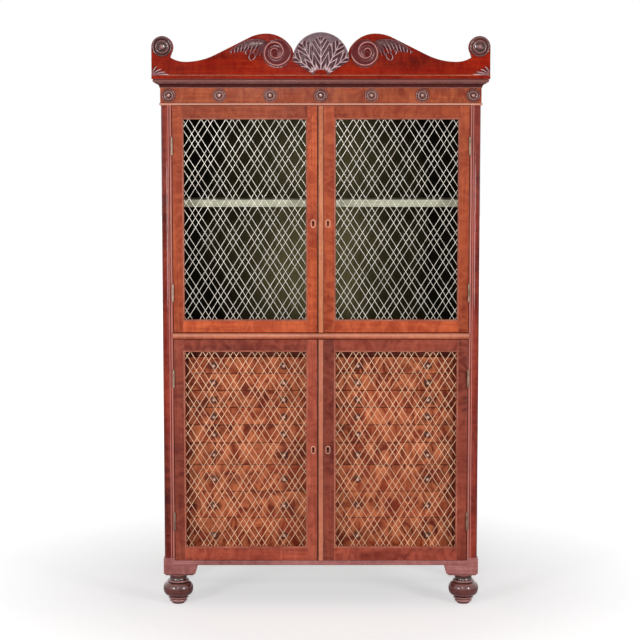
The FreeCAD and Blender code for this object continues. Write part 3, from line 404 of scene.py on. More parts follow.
# %% Wood figure
tree, given, result = start_group(
    "wood_figure",
    {"Place": "vector", "Dark": "colour", "Middle": "colour", "Light": "colour",
     "Ripple": "number", "Streak": "number"},
    {"Colour": "colour", "Height": "number"})


def figure_noise(stretch, low, high, detail, distortion=0.0):
    """One kind of marking in the wood, spread to the range from 0 to 1."""
    noise = stretched_noise(tree, given["Place"], stretch, detail, distortion)
    return spread(tree, noise, low, high)


bands = figure_noise((2.1, 24, 24), 0.36, 0.62, 3, 0.5)
clouds = figure_noise((2.6, 5, 5), 0.36, 0.64, 2, 0.8)
streaks = figure_noise((7, 190, 190), 0.35, 0.7, 4)
ripple = figure_noise((24, 13, 13), 0.4, 0.64, 3, 1.8)
pores = figure_noise((70, 1900, 1900), 0.6, 0.72, 1)
soft_bands = plus(tree, times(tree, bands, 0.6), times(tree, clouds, 0.4))
base = mix(tree, soft_bands, given["Dark"], given["Middle"])
lit = plus(tree, times(tree, ripple, given["Ripple"]),
           times(tree, times(tree, streaks, clouds), given["Streak"]), clamp=True)
figured = mix(tree, lit, base, given["Light"])
porous = mix(tree, times(tree, pores, 0.35), figured, given["Dark"])
tree.links.new(porous, result["Colour"])
tree.links.new(calc(tree, "SUBTRACT", times(tree, streaks, 0.5), pores), result["Height"])

# %% Board tone
# Each board of a door was cut from its own plank, so one is lighter and the next one darker.
# The same tone also lightens the bottom rails as painted sheen and darkens the upper top rails
# as painted shade.
tree, given, result = start_group(
    "board_tone", {"Colour": "colour", "Tone": "number"}, {"Colour": "colour"})
toned = add(tree, "ShaderNodeVectorMath", {
    0: given["Colour"], "Scale": plus(tree, 1.0, given["Tone"])}, operation="SCALE")
tree.links.new(toned.outputs[0], result["Colour"])

# %% Dirt and painted shade in grooves, wear and painted highlight on crests
# Fullness is 0 at the bottom of a groove and 1 on a crest. Wax and dust stay in the first and
# hands rub the second. The dark groove colour is also painted shade, and the pale crest a
# painted highlight.
tree, given, result = start_group(
    "dirt_shade_and_highlight",
    {"Colour": "colour", "Fullness": "number", "Groove": "colour", "Worn": "colour",
     "Crest": "number"},
    {"Colour": "colour"})
dirt_and_shade = mix(tree, spread(tree, given["Fullness"], 0.2, 0.5, 0.8, 0), given["Colour"],
            given["Groove"])
rubbed_and_lit = mix(tree, spread(tree, given["Fullness"], 0.6, 0.9, 0, given["Crest"]), dirt_and_shade,
             given["Worn"])
tree.links.new(rubbed_and_lit, result["Colour"])

# %% Carved shades
# Carving runs from a dark hollow over a slope to a pale crest, and fine grime blurs the steps.
# The dark hollows are partly dust and partly painted shade, the pale crests partly wear and
# partly painted highlight.
tree, given, result = start_group(
    "carved_shades",
    {"Place": "vector", "Ridge": "number", "Hollow": "colour", "Slope": "colour",
     "Crest": "colour"},
    {"Colour": "colour", "Height": "number"})
grime = stretched_noise(tree, given["Place"], (90, 90, 90), 4)
height = plus(tree, given["Ridge"], spread(tree, grime, 0.3, 0.7, -0.07, 0.07), clamp=True)
low = mix(tree, spread(tree, height, 0.1, 0.42), given["Hollow"], given["Slope"])
tree.links.new(mix(tree, spread(tree, height, 0.55, 0.92), low, given["Crest"]),
               result["Colour"])
tree.links.new(grime, result["Height"])

# %% Tarnish
tree, given, result = start_group(
    "tarnish", {"Place": "vector", "Bright": "colour", "Brown": "colour"},
    {"Colour": "colour", "Height": "number"})
tarnish = spread(tree, stretched_noise(tree, given["Place"], (55, 55, 55), 4), 0.42, 0.72)
tree.links.new(mix(tree, tarnish, given["Bright"], given["Brown"]), result["Colour"])
tree.links.new(tarnish, result["Height"])

# %% Brush marks
# The brush leaves long marks, and between them patches where the coat is thin.
tree, given, result = start_group(
    "brush_marks", {"Place": "vector"}, {"Thin": "number", "Height": "number"})
brush = stretched_noise(tree, given["Place"], (3, 220, 220), 4)
patches = spread(tree, stretched_noise(tree, given["Place"], (8, 14, 14), 4), 0.4, 0.7)
thin = plus(tree, times(tree, patches, 0.5), spread(tree, brush, 0.4, 0.7, 0, 0.4))
tree.links.new(thin, result["Thin"])
tree.links.new(brush, result["Height"])

# %% Edge wear and painted edge highlight
# The bevel node rounds the surface normal near an edge. Where it differs from the true normal
# there is an edge, and a patchy noise keeps the pale edge from being an even outline. The pale
# edge is partly worn wood and partly a painted highlight along the edge.
tree, given, result = start_group(
    "edge_wear_and_highlight", {"Place": "vector", "Width": "number", "Amount": "number"}, {"Mask": "number"})
rounded = add(tree, "ShaderNodeBevel", {"Radius": given["Width"]}, samples=4).outputs[0]
true_normal = add(tree, "ShaderNodeNewGeometry").outputs["Normal"]
same = add(tree, "ShaderNodeVectorMath", {0: rounded, 1: true_normal},
           operation="DOT_PRODUCT").outputs["Value"]
near_edge = spread(tree, calc(tree, "SUBTRACT", 1.0, same), 0.02, 0.22)
patches = spread(tree, stretched_noise(tree, given["Place"], (60, 60, 60)), 0.38, 0.62, 0.25)
tree.links.new(times(tree, times(tree, near_edge, patches), given["Amount"]), result["Mask"])

# %% Hazy polish
tree, given, result = start_group(
    "polish", {"Place": "vector", "Bright": "number", "Dull": "number"},
    {"Roughness": "number"})
haze = spread(tree, stretched_noise(tree, given["Place"], (5, 9, 9), 4, 0.3), 0.36, 0.66)
smears = spread(tree, stretched_noise(tree, given["Place"], (40, 160, 160), 2), 0.4, 0.62, 0, 0.25)
hazy = plus(tree, haze, smears, clamp=True)
dulled = times(tree, hazy, calc(tree, "SUBTRACT", given["Dull"], given["Bright"]))
tree.links.new(plus(tree, given["Bright"], dulled), result["Roughness"])
print(len(bpy.data.node_groups), "shader groups")


# %% [markdown]
# ## Polished mahogany
#
# One function makes every mahogany finish. They differ in colour, in how strong the figure is
# and in how bright the polish is. A thin clear coat on the shader gives the French polish its
# second, sharper reflection. Pieces made here read their `grain` attribute. A CAD board that
# stays as it is has no such attribute, so it reads object coordinates, turned by a mapping
# node so that the first axis runs along its grain.

# %% Mahogany
BOARD_TURNS = {"across": (0, 0, 0), "up": (0, math.pi / 2, 0), "deep": (0, 0, -math.pi / 2)}


def object_place(tree):
    return add(tree, "ShaderNodeTexCoord").outputs["Object"]


def grain_place(tree, along=None):
    """The place in the plank: the grain attribute, or turned object coordinates."""
    if along is None:
        return add(tree, "ShaderNodeAttribute", attribute_name="grain").outputs["Vector"]
    return add(tree, "ShaderNodeMapping", {
        "Vector": object_place(tree), "Rotation": BOARD_TURNS[along]}).outputs[0]


def attribute(tree, name):
    return add(tree, "ShaderNodeAttribute", attribute_name=name).outputs["Fac"]


def start_material(name):
    material = bpy.data.materials.new(name)
    material.use_nodes = True
    return material, material.node_tree, material.node_tree.nodes["Principled BSDF"]


def set_sockets(shader, **values):
    for name, value in values.items():
        shader.inputs[name.replace("_", " ")].default_value = value


def wear_and_highlight_mask(tree, place, width, amount):
    return effect(tree, "edge_wear_and_highlight", Place=place, Width=width, Amount=amount)["Mask"]


def join(tree, shader, place, colour, polished, height, depth, strength=0.5):
    """Link a colour, a polish from bright to dull, and a relief to a material's shader."""
    bright, dull = polished
    polish = effect(tree, "polish", Place=place, Bright=bright, Dull=dull)
    bumps = add(tree, "ShaderNodeBump", {"Height": height, "Strength": strength, "Distance": depth})
    tree.links.new(colour, shader.inputs["Base Color"])
    tree.links.new(polish["Roughness"], shader.inputs["Roughness"])
    tree.links.new(bumps.outputs[0], shader.inputs["Normal"])


def wooden(name, dark, middle, light, worn_and_lit, along=None, ripple=0.3, streak=0.5, wear_and_highlight=0.5,
           polished=(0.26, 0.45), gloss=0.18, coat=0.1, groove=None, crest=0.3):
    """A mahogany finish. A groove colour is for turned and moulded pieces, which hold dirt, and it
    also paints shade into their grooves.
    """
    material, tree, shader = start_material(name)
    place = grain_place(tree, along)
    figure = effect(tree, "wood_figure", Place=place, Dark=paint(*dark), Middle=paint(*middle),
                    Light=paint(*light), Ripple=ripple, Streak=streak)
    tone = attribute(tree, "tone")
    colour = effect(tree, "board_tone", Colour=figure["Colour"], Tone=tone)["Colour"]
    if groove:
        colour = effect(tree, "dirt_shade_and_highlight", Colour=colour, Fullness=attribute(tree, "ridge"),
                        Groove=paint(*groove), Worn=paint(*worn_and_lit), Crest=crest)["Colour"]
    colour = mix(tree, wear_and_highlight_mask(tree, place, 0.0022, wear_and_highlight), colour, paint(*worn_and_lit))
    join(tree, shader, place, colour, polished, figure["Height"], 0.00025)
    set_sockets(shader, Coat_Weight=coat, Coat_Roughness=0.08, Specular_IOR_Level=gloss)
    return material


# %% Mahogany finishes
# The four colours are the dark, middle and light wood, and the bare wood of a worn edge, which
# also paints the highlight along edges and crests.
pediment_wood = wooden(
    "pediment_mahogany", (92, 8, 4), (158, 20, 6), (190, 58, 20), (214, 140, 130),
    wear_and_highlight=0.9, gloss=0.06, coat=0)
cornice_wood = wooden(
    "cornice_mahogany", (54, 8, 6), (86, 16, 12), (118, 40, 28), (226, 160, 150),
    wear_and_highlight=0.9, gloss=0.2, coat=0.3, groove=(36, 6, 5))
frieze_wood = wooden(
    "frieze_mahogany", (120, 36, 14), (172, 68, 34), (216, 122, 84), (244, 180, 156),
    gloss=0.25, coat=0.3, groove=(58, 12, 6), crest=0.7)
post_wood = wooden(
    "post_mahogany", (82, 12, 8), (150, 36, 22), (190, 80, 56), (232, 150, 136),
    gloss=0.15, coat=0.25, groove=(44, 8, 8), crest=0.55)
DOOR_WOODS = {
    "lower": wooden(
        "lower_door_mahogany", (92, 26, 18), (142, 56, 38), (188, 96, 72), (204, 138, 118),
        ripple=0.35, gloss=0.22),
    "upper": wooden(
        "upper_door_mahogany", (124, 36, 18), (174, 70, 36), (222, 114, 68), (220, 142, 112),
        ripple=0.35)}
drawer_wood = wooden(
    "drawer_mahogany", (88, 22, 12), (160, 64, 38), (224, 132, 86), (120, 56, 36),
    ripple=0.8, streak=0.25)
turned_wood = wooden(
    "turned_mahogany", (56, 14, 14), (96, 34, 30), (138, 70, 62), (196, 138, 132),
    wear_and_highlight=0.8, polished=(0.12, 0.26), gloss=0.45, coat=0.8, groove=(20, 5, 5), crest=0.65)
boss_wood = wooden(
    "boss_mahogany", (92, 40, 38), (138, 80, 74), (184, 128, 118), (240, 194, 178),
    wear_and_highlight=0.2, polished=(0.14, 0.28), gloss=0.3, coat=0.5, groove=(72, 28, 26), crest=0.75)
knob_wood = wooden(
    "knob_mahogany", (62, 20, 14), (108, 48, 34), (150, 82, 62), (252, 206, 184),
    wear_and_highlight=0.2, polished=(0.12, 0.26), gloss=0.3, coat=0.4, groove=(26, 9, 7), crest=0.85)
rebate_wood = wooden(
    "rebate_mahogany", (34, 10, 6), (58, 20, 12), (80, 34, 22), (84, 40, 28),
    polished=(0.45, 0.65), coat=0)
bead_wood = wooden(
    "bead_mahogany", (140, 60, 42), (186, 98, 74), (216, 136, 108), (232, 170, 148),
    gloss=0.3, coat=0.3)
case_wood = wooden(
    "case_mahogany", (84, 26, 16), (126, 46, 28), (160, 72, 46), (160, 90, 70), along="up")
rail_wood = wooden(
    "rail_mahogany", (146, 58, 34), (206, 102, 68), (232, 142, 104), (240, 180, 154),
    gloss=0.25, coat=0.2, groove=(70, 16, 8), crest=0.4)
ASTRAGAL_WOODS = {
    "lower": rail_wood,
    "upper": wooden(
        "astragal_mahogany", (158, 68, 34), (214, 114, 70), (240, 150, 102), (244, 186, 150),
        gloss=0.15, coat=0.15, groove=(96, 26, 12), crest=0.25)}
block_wood = wooden(
    "block_mahogany", (124, 60, 56), (168, 96, 92), (202, 134, 128), (222, 172, 168),
    gloss=0.4, coat=0.3)
inside_wood = wooden(
    "inside_mahogany", (40, 18, 12), (60, 28, 18), (80, 42, 28), (84, 48, 34),
    along="across", polished=(0.45, 0.65), coat=0)
board_wood = wooden(
    "frieze_board_mahogany", (116, 38, 18), (158, 58, 28), (200, 104, 60), (196, 116, 96),
    along="across", ripple=0.5)
DEAL = (150, 116, 74), (184, 150, 104), (206, 178, 134), (196, 170, 130)
deal = wooden("carcase_deal", *DEAL, along="up", polished=(0.55, 0.75), coat=0)
drawer_deal = wooden("drawer_deal", *DEAL, polished=(0.5, 0.7), coat=0)
print(len(bpy.data.materials), "wood finishes")

# %% [markdown]
# ## Carved mahogany
#
# Carving that has been waxed and dusted for two centuries is darkest in its hollows and pale
# along its ridges, and these colours also paint shade into the hollows and highlights onto the
# ridges. The carving code knows how high each vertex stands, so it keeps that height in an
# attribute called `ridge`, from 0 in a hollow to 1 on a crest, and this finish turns it into
# colour.

# %% Carved finishes
def carved(name, hollow, slope, crest):
    material, tree, shader = start_material(name)
    place = grain_place(tree)
    shades = effect(tree, "carved_shades", Place=place, Ridge=attribute(tree, "ridge"),
                    Hollow=paint(*hollow), Slope=paint(*slope), Crest=paint(*crest))
    colour = mix(tree, wear_and_highlight_mask(tree, place, 0.0016, 0.5), shades["Colour"], paint(*crest))
    join(tree, shader, place, colour, (0.2, 0.4), shades["Height"], 0.0006)
    set_sockets(shader, Coat_Weight=0.15, Coat_Roughness=0.1, Specular_IOR_Level=0.22)
    return material


carved_wood = carved("carved_mahogany", (72, 12, 16), (136, 110, 118), (244, 208, 210))
leaf_wood = carved("leaf_mahogany", (86, 18, 22), (140, 84, 88), (252, 216, 216))
scroll_wood = carved("scroll_mahogany", (98, 10, 14), (150, 96, 96), (240, 164, 154))

# %% [markdown]
# ## Brass and paint
#
# The lattice is brass that has gone soft and pale. It is metal, so its colour is the colour of
# its reflection, browned a little by patches of tarnish. The shelf and the backboards are
# painted: a thick sage green on the shelf, and a thin olive on the boards, with brush marks
# that run along each board. The olive is painted darker everywhere but in the middle: painted
# shade towards the edges of the back, and a painted pool of light in the middle. The outside
# of the back was never painted, and is only stained.

# %% Metal finishes
def brassy(name, bright, brown, polished=(0.3, 0.5)):
    material, tree, shader = start_material(name)
    place = object_place(tree)
    metal = effect(tree, "tarnish", Place=place, Bright=paint(*bright), Brown=paint(*brown))
    colour = mix(tree, wear_and_highlight_mask(tree, place, 0.0006, 0.6), metal["Colour"], paint(*bright))
    join(tree, shader, place, colour, polished, metal["Height"], 0.0002, strength=0.3)
    set_sockets(shader, Metallic=1.0)
    return material


LATTICE_BRASSES = {
    "upper": brassy("upper_lattice_brass", (255, 250, 240), (236, 226, 210)),
    "lower": brassy("lower_lattice_brass", (255, 218, 184), (248, 190, 152))}
fitting_brass = brassy("fitting_brass", (158, 138, 120), (92, 72, 60))
plate_brass = brassy("plate_brass", (240, 208, 184), (206, 168, 144))
steel = brassy("lock_steel", (120, 116, 112), (70, 62, 56), polished=(0.35, 0.6))


# %% Paint finishes
# Painted shade on the backboards: how far from the middle the paint turns dark.
PAINTED_SHADE = {"height": 0.7, "flatten": 0.55, "reach": 0.42, "drift": 0.1}
BACK_PLANES = (0.229, 0.233)  # the painted face and the stained face of a backboard, in metres


def shade_and_stain_backboards(tree, painted_colour, thin, painted_shade, stains):
    """Paint shade onto the back, darker away from its middle, and stain the outside of the boards.
    """
    where = object_place(tree)
    from_middle = add(tree, "ShaderNodeMapping", {
        "Vector": where, "Location": (0, 0, -PAINTED_SHADE["height"]),
        "Scale": (1, 0, PAINTED_SHADE["flatten"])}).outputs[0]
    drift = spread(tree, stretched_noise(tree, where, (4, 4, 1.5), 4), 0.3, 0.7,
                   -PAINTED_SHADE["drift"], PAINTED_SHADE["drift"])
    reach = plus(tree, distance_from_origin(tree, from_middle), drift)
    # Painted shade: the paint turns dark away from the middle of the back.
    inside = mix(tree, spread(tree, reach, 0, PAINTED_SHADE["reach"]), painted_colour, paint(*painted_shade))
    outside = mix(tree, thin, paint(*stains[0]), paint(*stains[1]))
    depth = add(tree, "ShaderNodeSeparateXYZ", {0: where}).outputs["Y"]
    return mix(tree, spread(tree, depth, *BACK_PLANES), inside, outside)


def painted(name, full, thin, along=None, gloss=0.3, shade_and_stain=None):
    """Brushed paint, from its full colour to where it is thin."""
    material, tree, shader = start_material(name)
    place = grain_place(tree, along)
    marks = effect(tree, "brush_marks", Place=place)
    share = plus(tree, marks["Thin"], wear_and_highlight_mask(tree, place, 0.0025, 0.5), clamp=True)
    colour = mix(tree, share, paint(*full), paint(*thin))
    if shade_and_stain:
        colour = shade_and_stain_backboards(tree, colour, marks["Thin"], **shade_and_stain)
    join(tree, shader, place, colour, (0.5, 0.7), marks["Height"], 0.0004)
    set_sockets(shader, Specular_IOR_Level=gloss)
    return material


sage_paint = painted("painted_shelf", (208, 208, 182), (170, 172, 146))
olive_paint = painted(
    "painted_backboards", (126, 118, 82), (96, 88, 58), along="up", gloss=0.05,
    shade_and_stain={"painted_shade": (24, 21, 14), "stains": ((122, 88, 56), (88, 60, 38))})
tongue_paint = painted("painted_tongues", (40, 38, 26), (26, 24, 16), gloss=0.05)
# Black for the keyhole plates: painted shadow for a hole that is not cut.
keyhole_painted_shadow = painted("keyhole_painted_shadow", (12, 9, 8), (7, 6, 5), gloss=0.05)

# %% [markdown]
# ## Boards that stay as they are
#
# The sides, boards and runners are plain rectangles in the CAD model, and plain rectangles are
# right for them. They keep their meshes and only get their finish.

# %% Finishes for the CAD boards
board_finishes = {
    "case_sides": case_wood, "top_board": inside_wood, "middle_board": inside_wood,
    "bottom_board": inside_wood, "backboards": olive_paint, "bank_frame": case_wood,
    "shelf_battens": deal, "drawer_runners": deal, "rear_feet": case_wood,
    "frieze_board": board_wood,
}
for node, finish_material in board_finishes.items():
    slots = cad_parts[node].material_slots
    for slot in slots:
        slot.material = finish_material
    print(node, "keeps its shape,", len(slots), "slot")


# %% [markdown]
# ## Feet
#
# Each front foot is one turning: a small toe, two rings, a full bulb, a collar and a neck that
# goes up into the block. On a lathe the profile is everything, so the profile is a list of
# arcs, and the spin makes the rest.

# %% Turned front feet
BLOCKS = extent("foot_blocks")
FEET = extent("front_feet")
FOOT_RADIUS = (FEET[DEEP][1] - FEET[DEEP][0]) / 2
FOOT_AXIS = (FEET[ACROSS][1] - FOOT_RADIUS, FEET[DEEP][0] + FOOT_RADIUS)
NECK_TOP = BLOCKS[UP][0]
BULB = {"waist": 39, "middle": 55.5, "half_height": 23.5, "steps": 16}


def foot_profile():
    """Radius and height up the foot, from the middle of its sole to its neck."""
    toe = [(0, 0), (18, 0), *arc((18, 6), 6, -90, 0, 4), *arc((25, 13), 6, -40, 80, 6)]
    hollow = [(27, 19.5), (31, 20), *arc((33, 23), 3, -90, 90, 5), (31, 26), (33, 29), (38, 31)]
    bulb = []
    for step in range(BULB["steps"] + 1):
        angle = math.pi * step / BULB["steps"]
        bulb.append((BULB["waist"] + (FOOT_RADIUS - BULB["waist"]) * math.sin(angle),
                     BULB["middle"] - BULB["half_height"] * math.cos(angle)))
    neck = [(37, 80.5), *arc((35.5, 84), 3.5, -70, 90, 5), (32, 88), (30, 92), (29.5, 98),
            (30.5, 104), *arc((31, 107), 2.5, -60, 60, 3), (30, NECK_TOP), (0, NECK_TOP)]
    return toe + hollow + bulb + neck


mesh = start_mesh()
for side in HANDS.values():
    turning(mesh, foot_profile(), (FOOT_AXIS[0] * side, FOOT_AXIS[1], 0), sides=56)
    lay_grain(mesh, "up", board=side + 2)
front_feet = finish(mesh, "turned_front_feet", "carcase", turned_wood,
                    ["front_feet"])
print(len(front_feet.data.polygons), "faces in the front feet")

# %% [markdown]
# The blocks above the feet are sawn with a slope on their inner ends. An outline pushed
# backwards gives the slope, and a bevel along its lower front edges softens it. A second board
# on each block fills the corner up to the foot of the post.

# %% Foot blocks
POST = 38  # width and depth of a corner post
POST_FOOT = extent("corner_posts")[UP][0]
RAIL = extent("bottom_rail")
BLOCK_LENGTH, BLOCK_SLOPE, BLOCK_CHAMFER = 119, 10, 9
FRONT_HALF = -100  # only edges in front of this are at the front

mesh = start_mesh()
outer, inner = BLOCKS[ACROSS][1], HALF_WIDTH - BLOCK_LENGTH
for side in HANDS.values():
    outline = [(outer, NECK_TOP), (outer, RAIL[UP][0]), (inner, RAIL[UP][0]),
               (inner + BLOCK_SLOPE, NECK_TOP)]
    verts = run(mesh, [(x * side, z) for x, z in outline], "deep", *BLOCKS[DEEP])
    lower_front = [edge for edge in edges_of(verts)
                   if all(vert.co.z < NECK_TOP + 1 for vert in edge.verts)
                   and any(vert.co.y < FRONT_HALF for vert in edge.verts)]
    bevel(mesh, lower_front, BLOCK_CHAMFER, 1)
    lay_grain(mesh, "across", board=side + 4)
    board(mesh, sorted([(HALF_WIDTH - POST) * side, outer * side]),
          (BLOCKS[DEEP][0], FRONT + POST), (RAIL[UP][0] - 0.5, POST_FOOT), ease=0.6)
    lay_grain(mesh, "across", board=side + 6)
finish(mesh, "canted_foot_blocks", "carcase", block_wood, ["foot_blocks"],
       sharp=FLAT)

# %% [markdown]
# ## Corner posts and rails
#
# A post has a rounded outer corner and a small bead beside the door. The rail between the
# doors has a half-round nose, and the one below them a flat fillet between two small rounds.
# All of them are runs: their shape is in the outline.

# %% Corner posts
POSTS = extent("corner_posts")
POST_ROUND, POST_BEAD = 27, 4  # radius of the outer corner and of the bead beside the door

mesh = start_mesh()
for side in HANDS.values():
    inner = POSTS[ACROSS][1] - POST
    outline = [(inner, FRONT + POST),
               *arc((inner + POST_BEAD, FRONT + POST_BEAD), POST_BEAD, 180, 360, 8),
               (inner + 9, FRONT + 3), (inner + 9.6, FRONT + 0.2),
               *arc((inner + POST - POST_ROUND, FRONT + POST_ROUND), POST_ROUND, -90, 0, 12),
               (inner + POST, FRONT + POST)]
    run(mesh, [(x * side, y) for x, y in outline], "up", *POSTS[UP],
        marks=fullness(outline, MOULDED_REACH))
    lay_grain(mesh, "up", board=side + 9)
finish(mesh, "rounded_corner_posts", "carcase", post_wood, ["corner_posts"])

# %% Rails
DOORS = {level: extent(f"{level}_right_door_frame") for level in DOOR_WOODS}
STOP_FACE = DOORS["upper"][DEEP][1] + 2
MIDDLE = extent("middle_rail")
POST_INNER = HALF_WIDTH - POST
NOSE_MARKS = [0.1, 0.3, 0.5, 0.7, 0.9, 0.9, 0.8, 0.7, 0.6, 0.5, 0.4, 0.3, 0.1]
FILLET = 2.6  # how far the bottom rail's flat part stands out

mesh = start_mesh()
low, high = MIDDLE[UP]
nose_low, nose_high = low + 12, high - 11
half = (nose_high - nose_low) / 2
rail_outline = [(STOP_FACE, nose_low), (STOP_FACE, low), (MIDDLE[DEEP][1], low),
                (MIDDLE[DEEP][1], high), (STOP_FACE, high), (STOP_FACE, nose_high),
                *arc((MIDDLE[DEEP][0] + half, nose_low + half), half, 90, 270, 12)]
run(mesh, rail_outline, "across", -POST_INNER, POST_INNER, marks=[PLAIN] * 6 + NOSE_MARKS)
lay_grain(mesh, "across", board=12)
finish(mesh, "half_round_middle_rail", "carcase", rail_wood, ["middle_rail"])

mesh = start_mesh()
low, high = RAIL[UP]
rail_top = DOORS["lower"][UP][0] - 1
rail_outline = [(RAIL[DEEP][1], low), (RAIL[DEEP][1], high), (STOP_FACE, high),
                (STOP_FACE, rail_top), *arc((FRONT, rail_top - 4), 4, 90, 180, 4),
                (FRONT - FILLET, rail_top - 8), (FRONT - FILLET, rail_top - 9.4),
                *arc((FRONT, low + 4), 4, 180, 270, 4)]
run(mesh, rail_outline, "across", -POST_INNER, POST_INNER)
lay_grain(mesh, "across", board=13)
finish(mesh, "moulded_bottom_rail", "carcase", block_wood, ["bottom_rail"])

# %% [markdown]
# ## Frieze and cornice
#
# The cornice is a cove under a torus, and it turns the two front corners in mitres. Each point
# of its profile gives one line round the case, further out than the last, and bridging the
# lines makes the moulding with its mitres already cut.

# %% Cornice and frieze bead
CORNICE = extent("cornice")
BEAD = extent("frieze_bead")
SUNK = -0.5  # a moulding starts this far inside the case
TORUS, COVE_TOP = 6, 15


def round_case(mesh, profile):
    """A moulding round the front and both sides, from points of (reach, height)."""
    lines = []
    for reach, z in profile:
        side, front = HALF_WIDTH + reach, FRONT - reach
        lines.append([(-side, BACK, z), (-side, front, z), (side, front, z), (side, BACK, z)])
    moulding(mesh, lines, closed_path=False, marks=fullness(profile, MOULDED_REACH))


mesh = start_mesh()
low, high = CORNICE[UP]
reach = CORNICE[ACROSS][1] - HALF_WIDTH - TORUS
cove = arc_through((2, low + 1), (14, low + COVE_TOP), 15, -1, 8)
round_case(mesh, [
    (SUNK, low), (2, low), (2, low + 1), *cove[1:], (16, low + COVE_TOP),
    (16, high - TORUS * 2), (reach, high - TORUS * 2),
    *arc((reach, high - TORUS), TORUS, -90, 90, 10), (SUNK, high)])
lay_grain(mesh, "across", board=14)
finish(mesh, "mitred_cornice", "carcase", cornice_wood, ["cornice"])

mesh = start_mesh()
low, high = BEAD[UP]
round_case(mesh, [(SUNK, low), *arc((0, (low + high) / 2), (high - low) / 2, -90, 90, 8),
                  (SUNK, high)])
lay_grain(mesh, "across", board=15)
finish(mesh, "mitred_frieze_bead", "carcase", frieze_wood, ["frieze_bead"])

# %% [markdown]
# The bosses along the frieze and the rosettes on the pediment are small face turnings: a rim,
# a ring, a hollow and a button. Both use one profile, made wider or narrower.

# %% Turned bosses
BOSSES = extent("frieze_bosses")
ROSETTES = extent("pediment_rosettes")
PEDIMENT = extent("pediment_board")
PEDIMENT_FACE = ROSETTES[DEEP][1]
# The marks rise to 1 at the middle of the button: a painted highlight there. The low marks in the
# hollows darken them as dust and painted shade.
BOSS_MARKS_WITH_HIGHLIGHT = [0.3, 0.3, 0.4, *[0.55] * 7, 0.25, 0.4, *[0.7] * 7, 0.25, 0.25, 0.35,
              0.4, 0.45, 0.5, 0.58, 0.7, 0.9, 1]


def boss_profile(radius, reach):
    """Radius and height of a turning with a rim, a ring, a hollow and a low domed button."""
    button = [(radius * 0.3 * math.sin(math.radians(a)),
               reach * (0.95 + 0.05 * math.cos(math.radians(a)))) for a in range(90, -1, -15)]
    return [(0, SUNK), (radius, SUNK), (radius, reach * 0.2),
            *arc((radius * 0.9, reach * 0.34), radius * 0.1, -10, 140, 6),
            (radius * 0.78, reach * 0.26), (radius * 0.72, reach * 0.4),
            *arc((radius * 0.6, reach * 0.42), radius * 0.1, 20, 160, 6),
            (radius * 0.47, reach * 0.26), (radius * 0.38, reach * 0.3),
            (radius * 0.32, reach * 0.6), *button]


def boss(mesh, box, x, face, sides):
    """A boss or rosette as large as its CAD node, at one place across."""
    radius = (box[UP][1] - box[UP][0]) / 2
    profile = boss_profile(radius, face - box[DEEP][0])
    face_turning(mesh, profile, (x, face, sum(box[UP]) / 2), sides, BOSS_MARKS_WITH_HIGHLIGHT)
    lay_grain(mesh, "up", board=x * 0.01)


mesh = start_mesh()
boss_spread = (BOSSES[ACROSS][1] - (BOSSES[UP][1] - BOSSES[UP][0]) / 2) / 3
for place in range(-3, 4):
    boss(mesh, BOSSES, boss_spread * place, FRONT, 32)
finish(mesh, "turned_frieze_bosses", "carcase", boss_wood,
       ["frieze_bosses"])
mesh = start_mesh()
rosette_place = ROSETTES[ACROSS][1] - (ROSETTES[UP][1] - ROSETTES[UP][0]) / 2
for side in HANDS.values():
    boss(mesh, ROSETTES, rosette_place * side, PEDIMENT_FACE, 48)
finish(mesh, "turned_pediment_rosettes", "carcase", turned_wood,
       ["pediment_rosettes"])

# %% [markdown]
# ## Pediment board
#
# The swan-neck board is one outline: a round head at each end, a long hollow that rises into
# the crown, and a drop to the dip behind the shell. The right half is drawn from arcs, and a
# mirror gives the left half. A band and a bead run along its foot.

# %% Swan-neck outline
HEAD_RADIUS = 37.5
HEAD = (PEDIMENT[ACROSS][1] - HEAD_RADIUS, sum(ROSETTES[UP]) / 2)
PEDIMENT_BASE = PEDIMENT[UP][0]
BAND_HEIGHT, BEAD_RADIUS = 11, 2


def swell_between(start, end, side, steps):
    """An arc between two points that is level at one of them."""
    dx, dz = end[0] - start[0], end[1] - start[1]
    return arc_through(start, end, (dx * dx + dz * dz) / (2 * abs(dz)), side, steps)


def neck_outline():
    """Half of the board's outline, from its dip outwards and down to its base."""
    dip, scroll, crest, crown = (95, 1962), (99, 1976), (188, 2028), (240, 2018)
    hollow, low, notch = (365, 1956), (470, 1931), (523, 1947)
    neck = math.radians(30)
    head_start = (HEAD[0] - HEAD_RADIUS * math.cos(neck), HEAD[1] - HEAD_RADIUS * math.sin(neck))
    return [dip,
            *swell_between(scroll, crest, -1, 10),
            *swell_between(crest, crown, -1, 6)[1:],
            *swell_between(hollow, low, 1, 8),
            *swell_between(low, notch, 1, 6)[1:],
            head_start,
            *arc(HEAD, HEAD_RADIUS, 205, 0, 24),
            (PEDIMENT[ACROSS][1], PEDIMENT_BASE)]


half_outline = neck_outline()
mesh = start_mesh()
verts = run(mesh, half_outline + [(-x, z) for x, z in reversed(half_outline)], "deep",
            PEDIMENT_FACE, PEDIMENT[DEEP][1])
bevel(mesh, [edge for edge in edges_of(verts)
             if all(vert.co.y < PEDIMENT_FACE + 1 for vert in edge.verts)], 2, 2)
lay_grain(mesh, "across", board=16)
finish(mesh, "swan_neck_board", "carcase", pediment_wood,
       ["pediment_board"], sharp=FLAT)

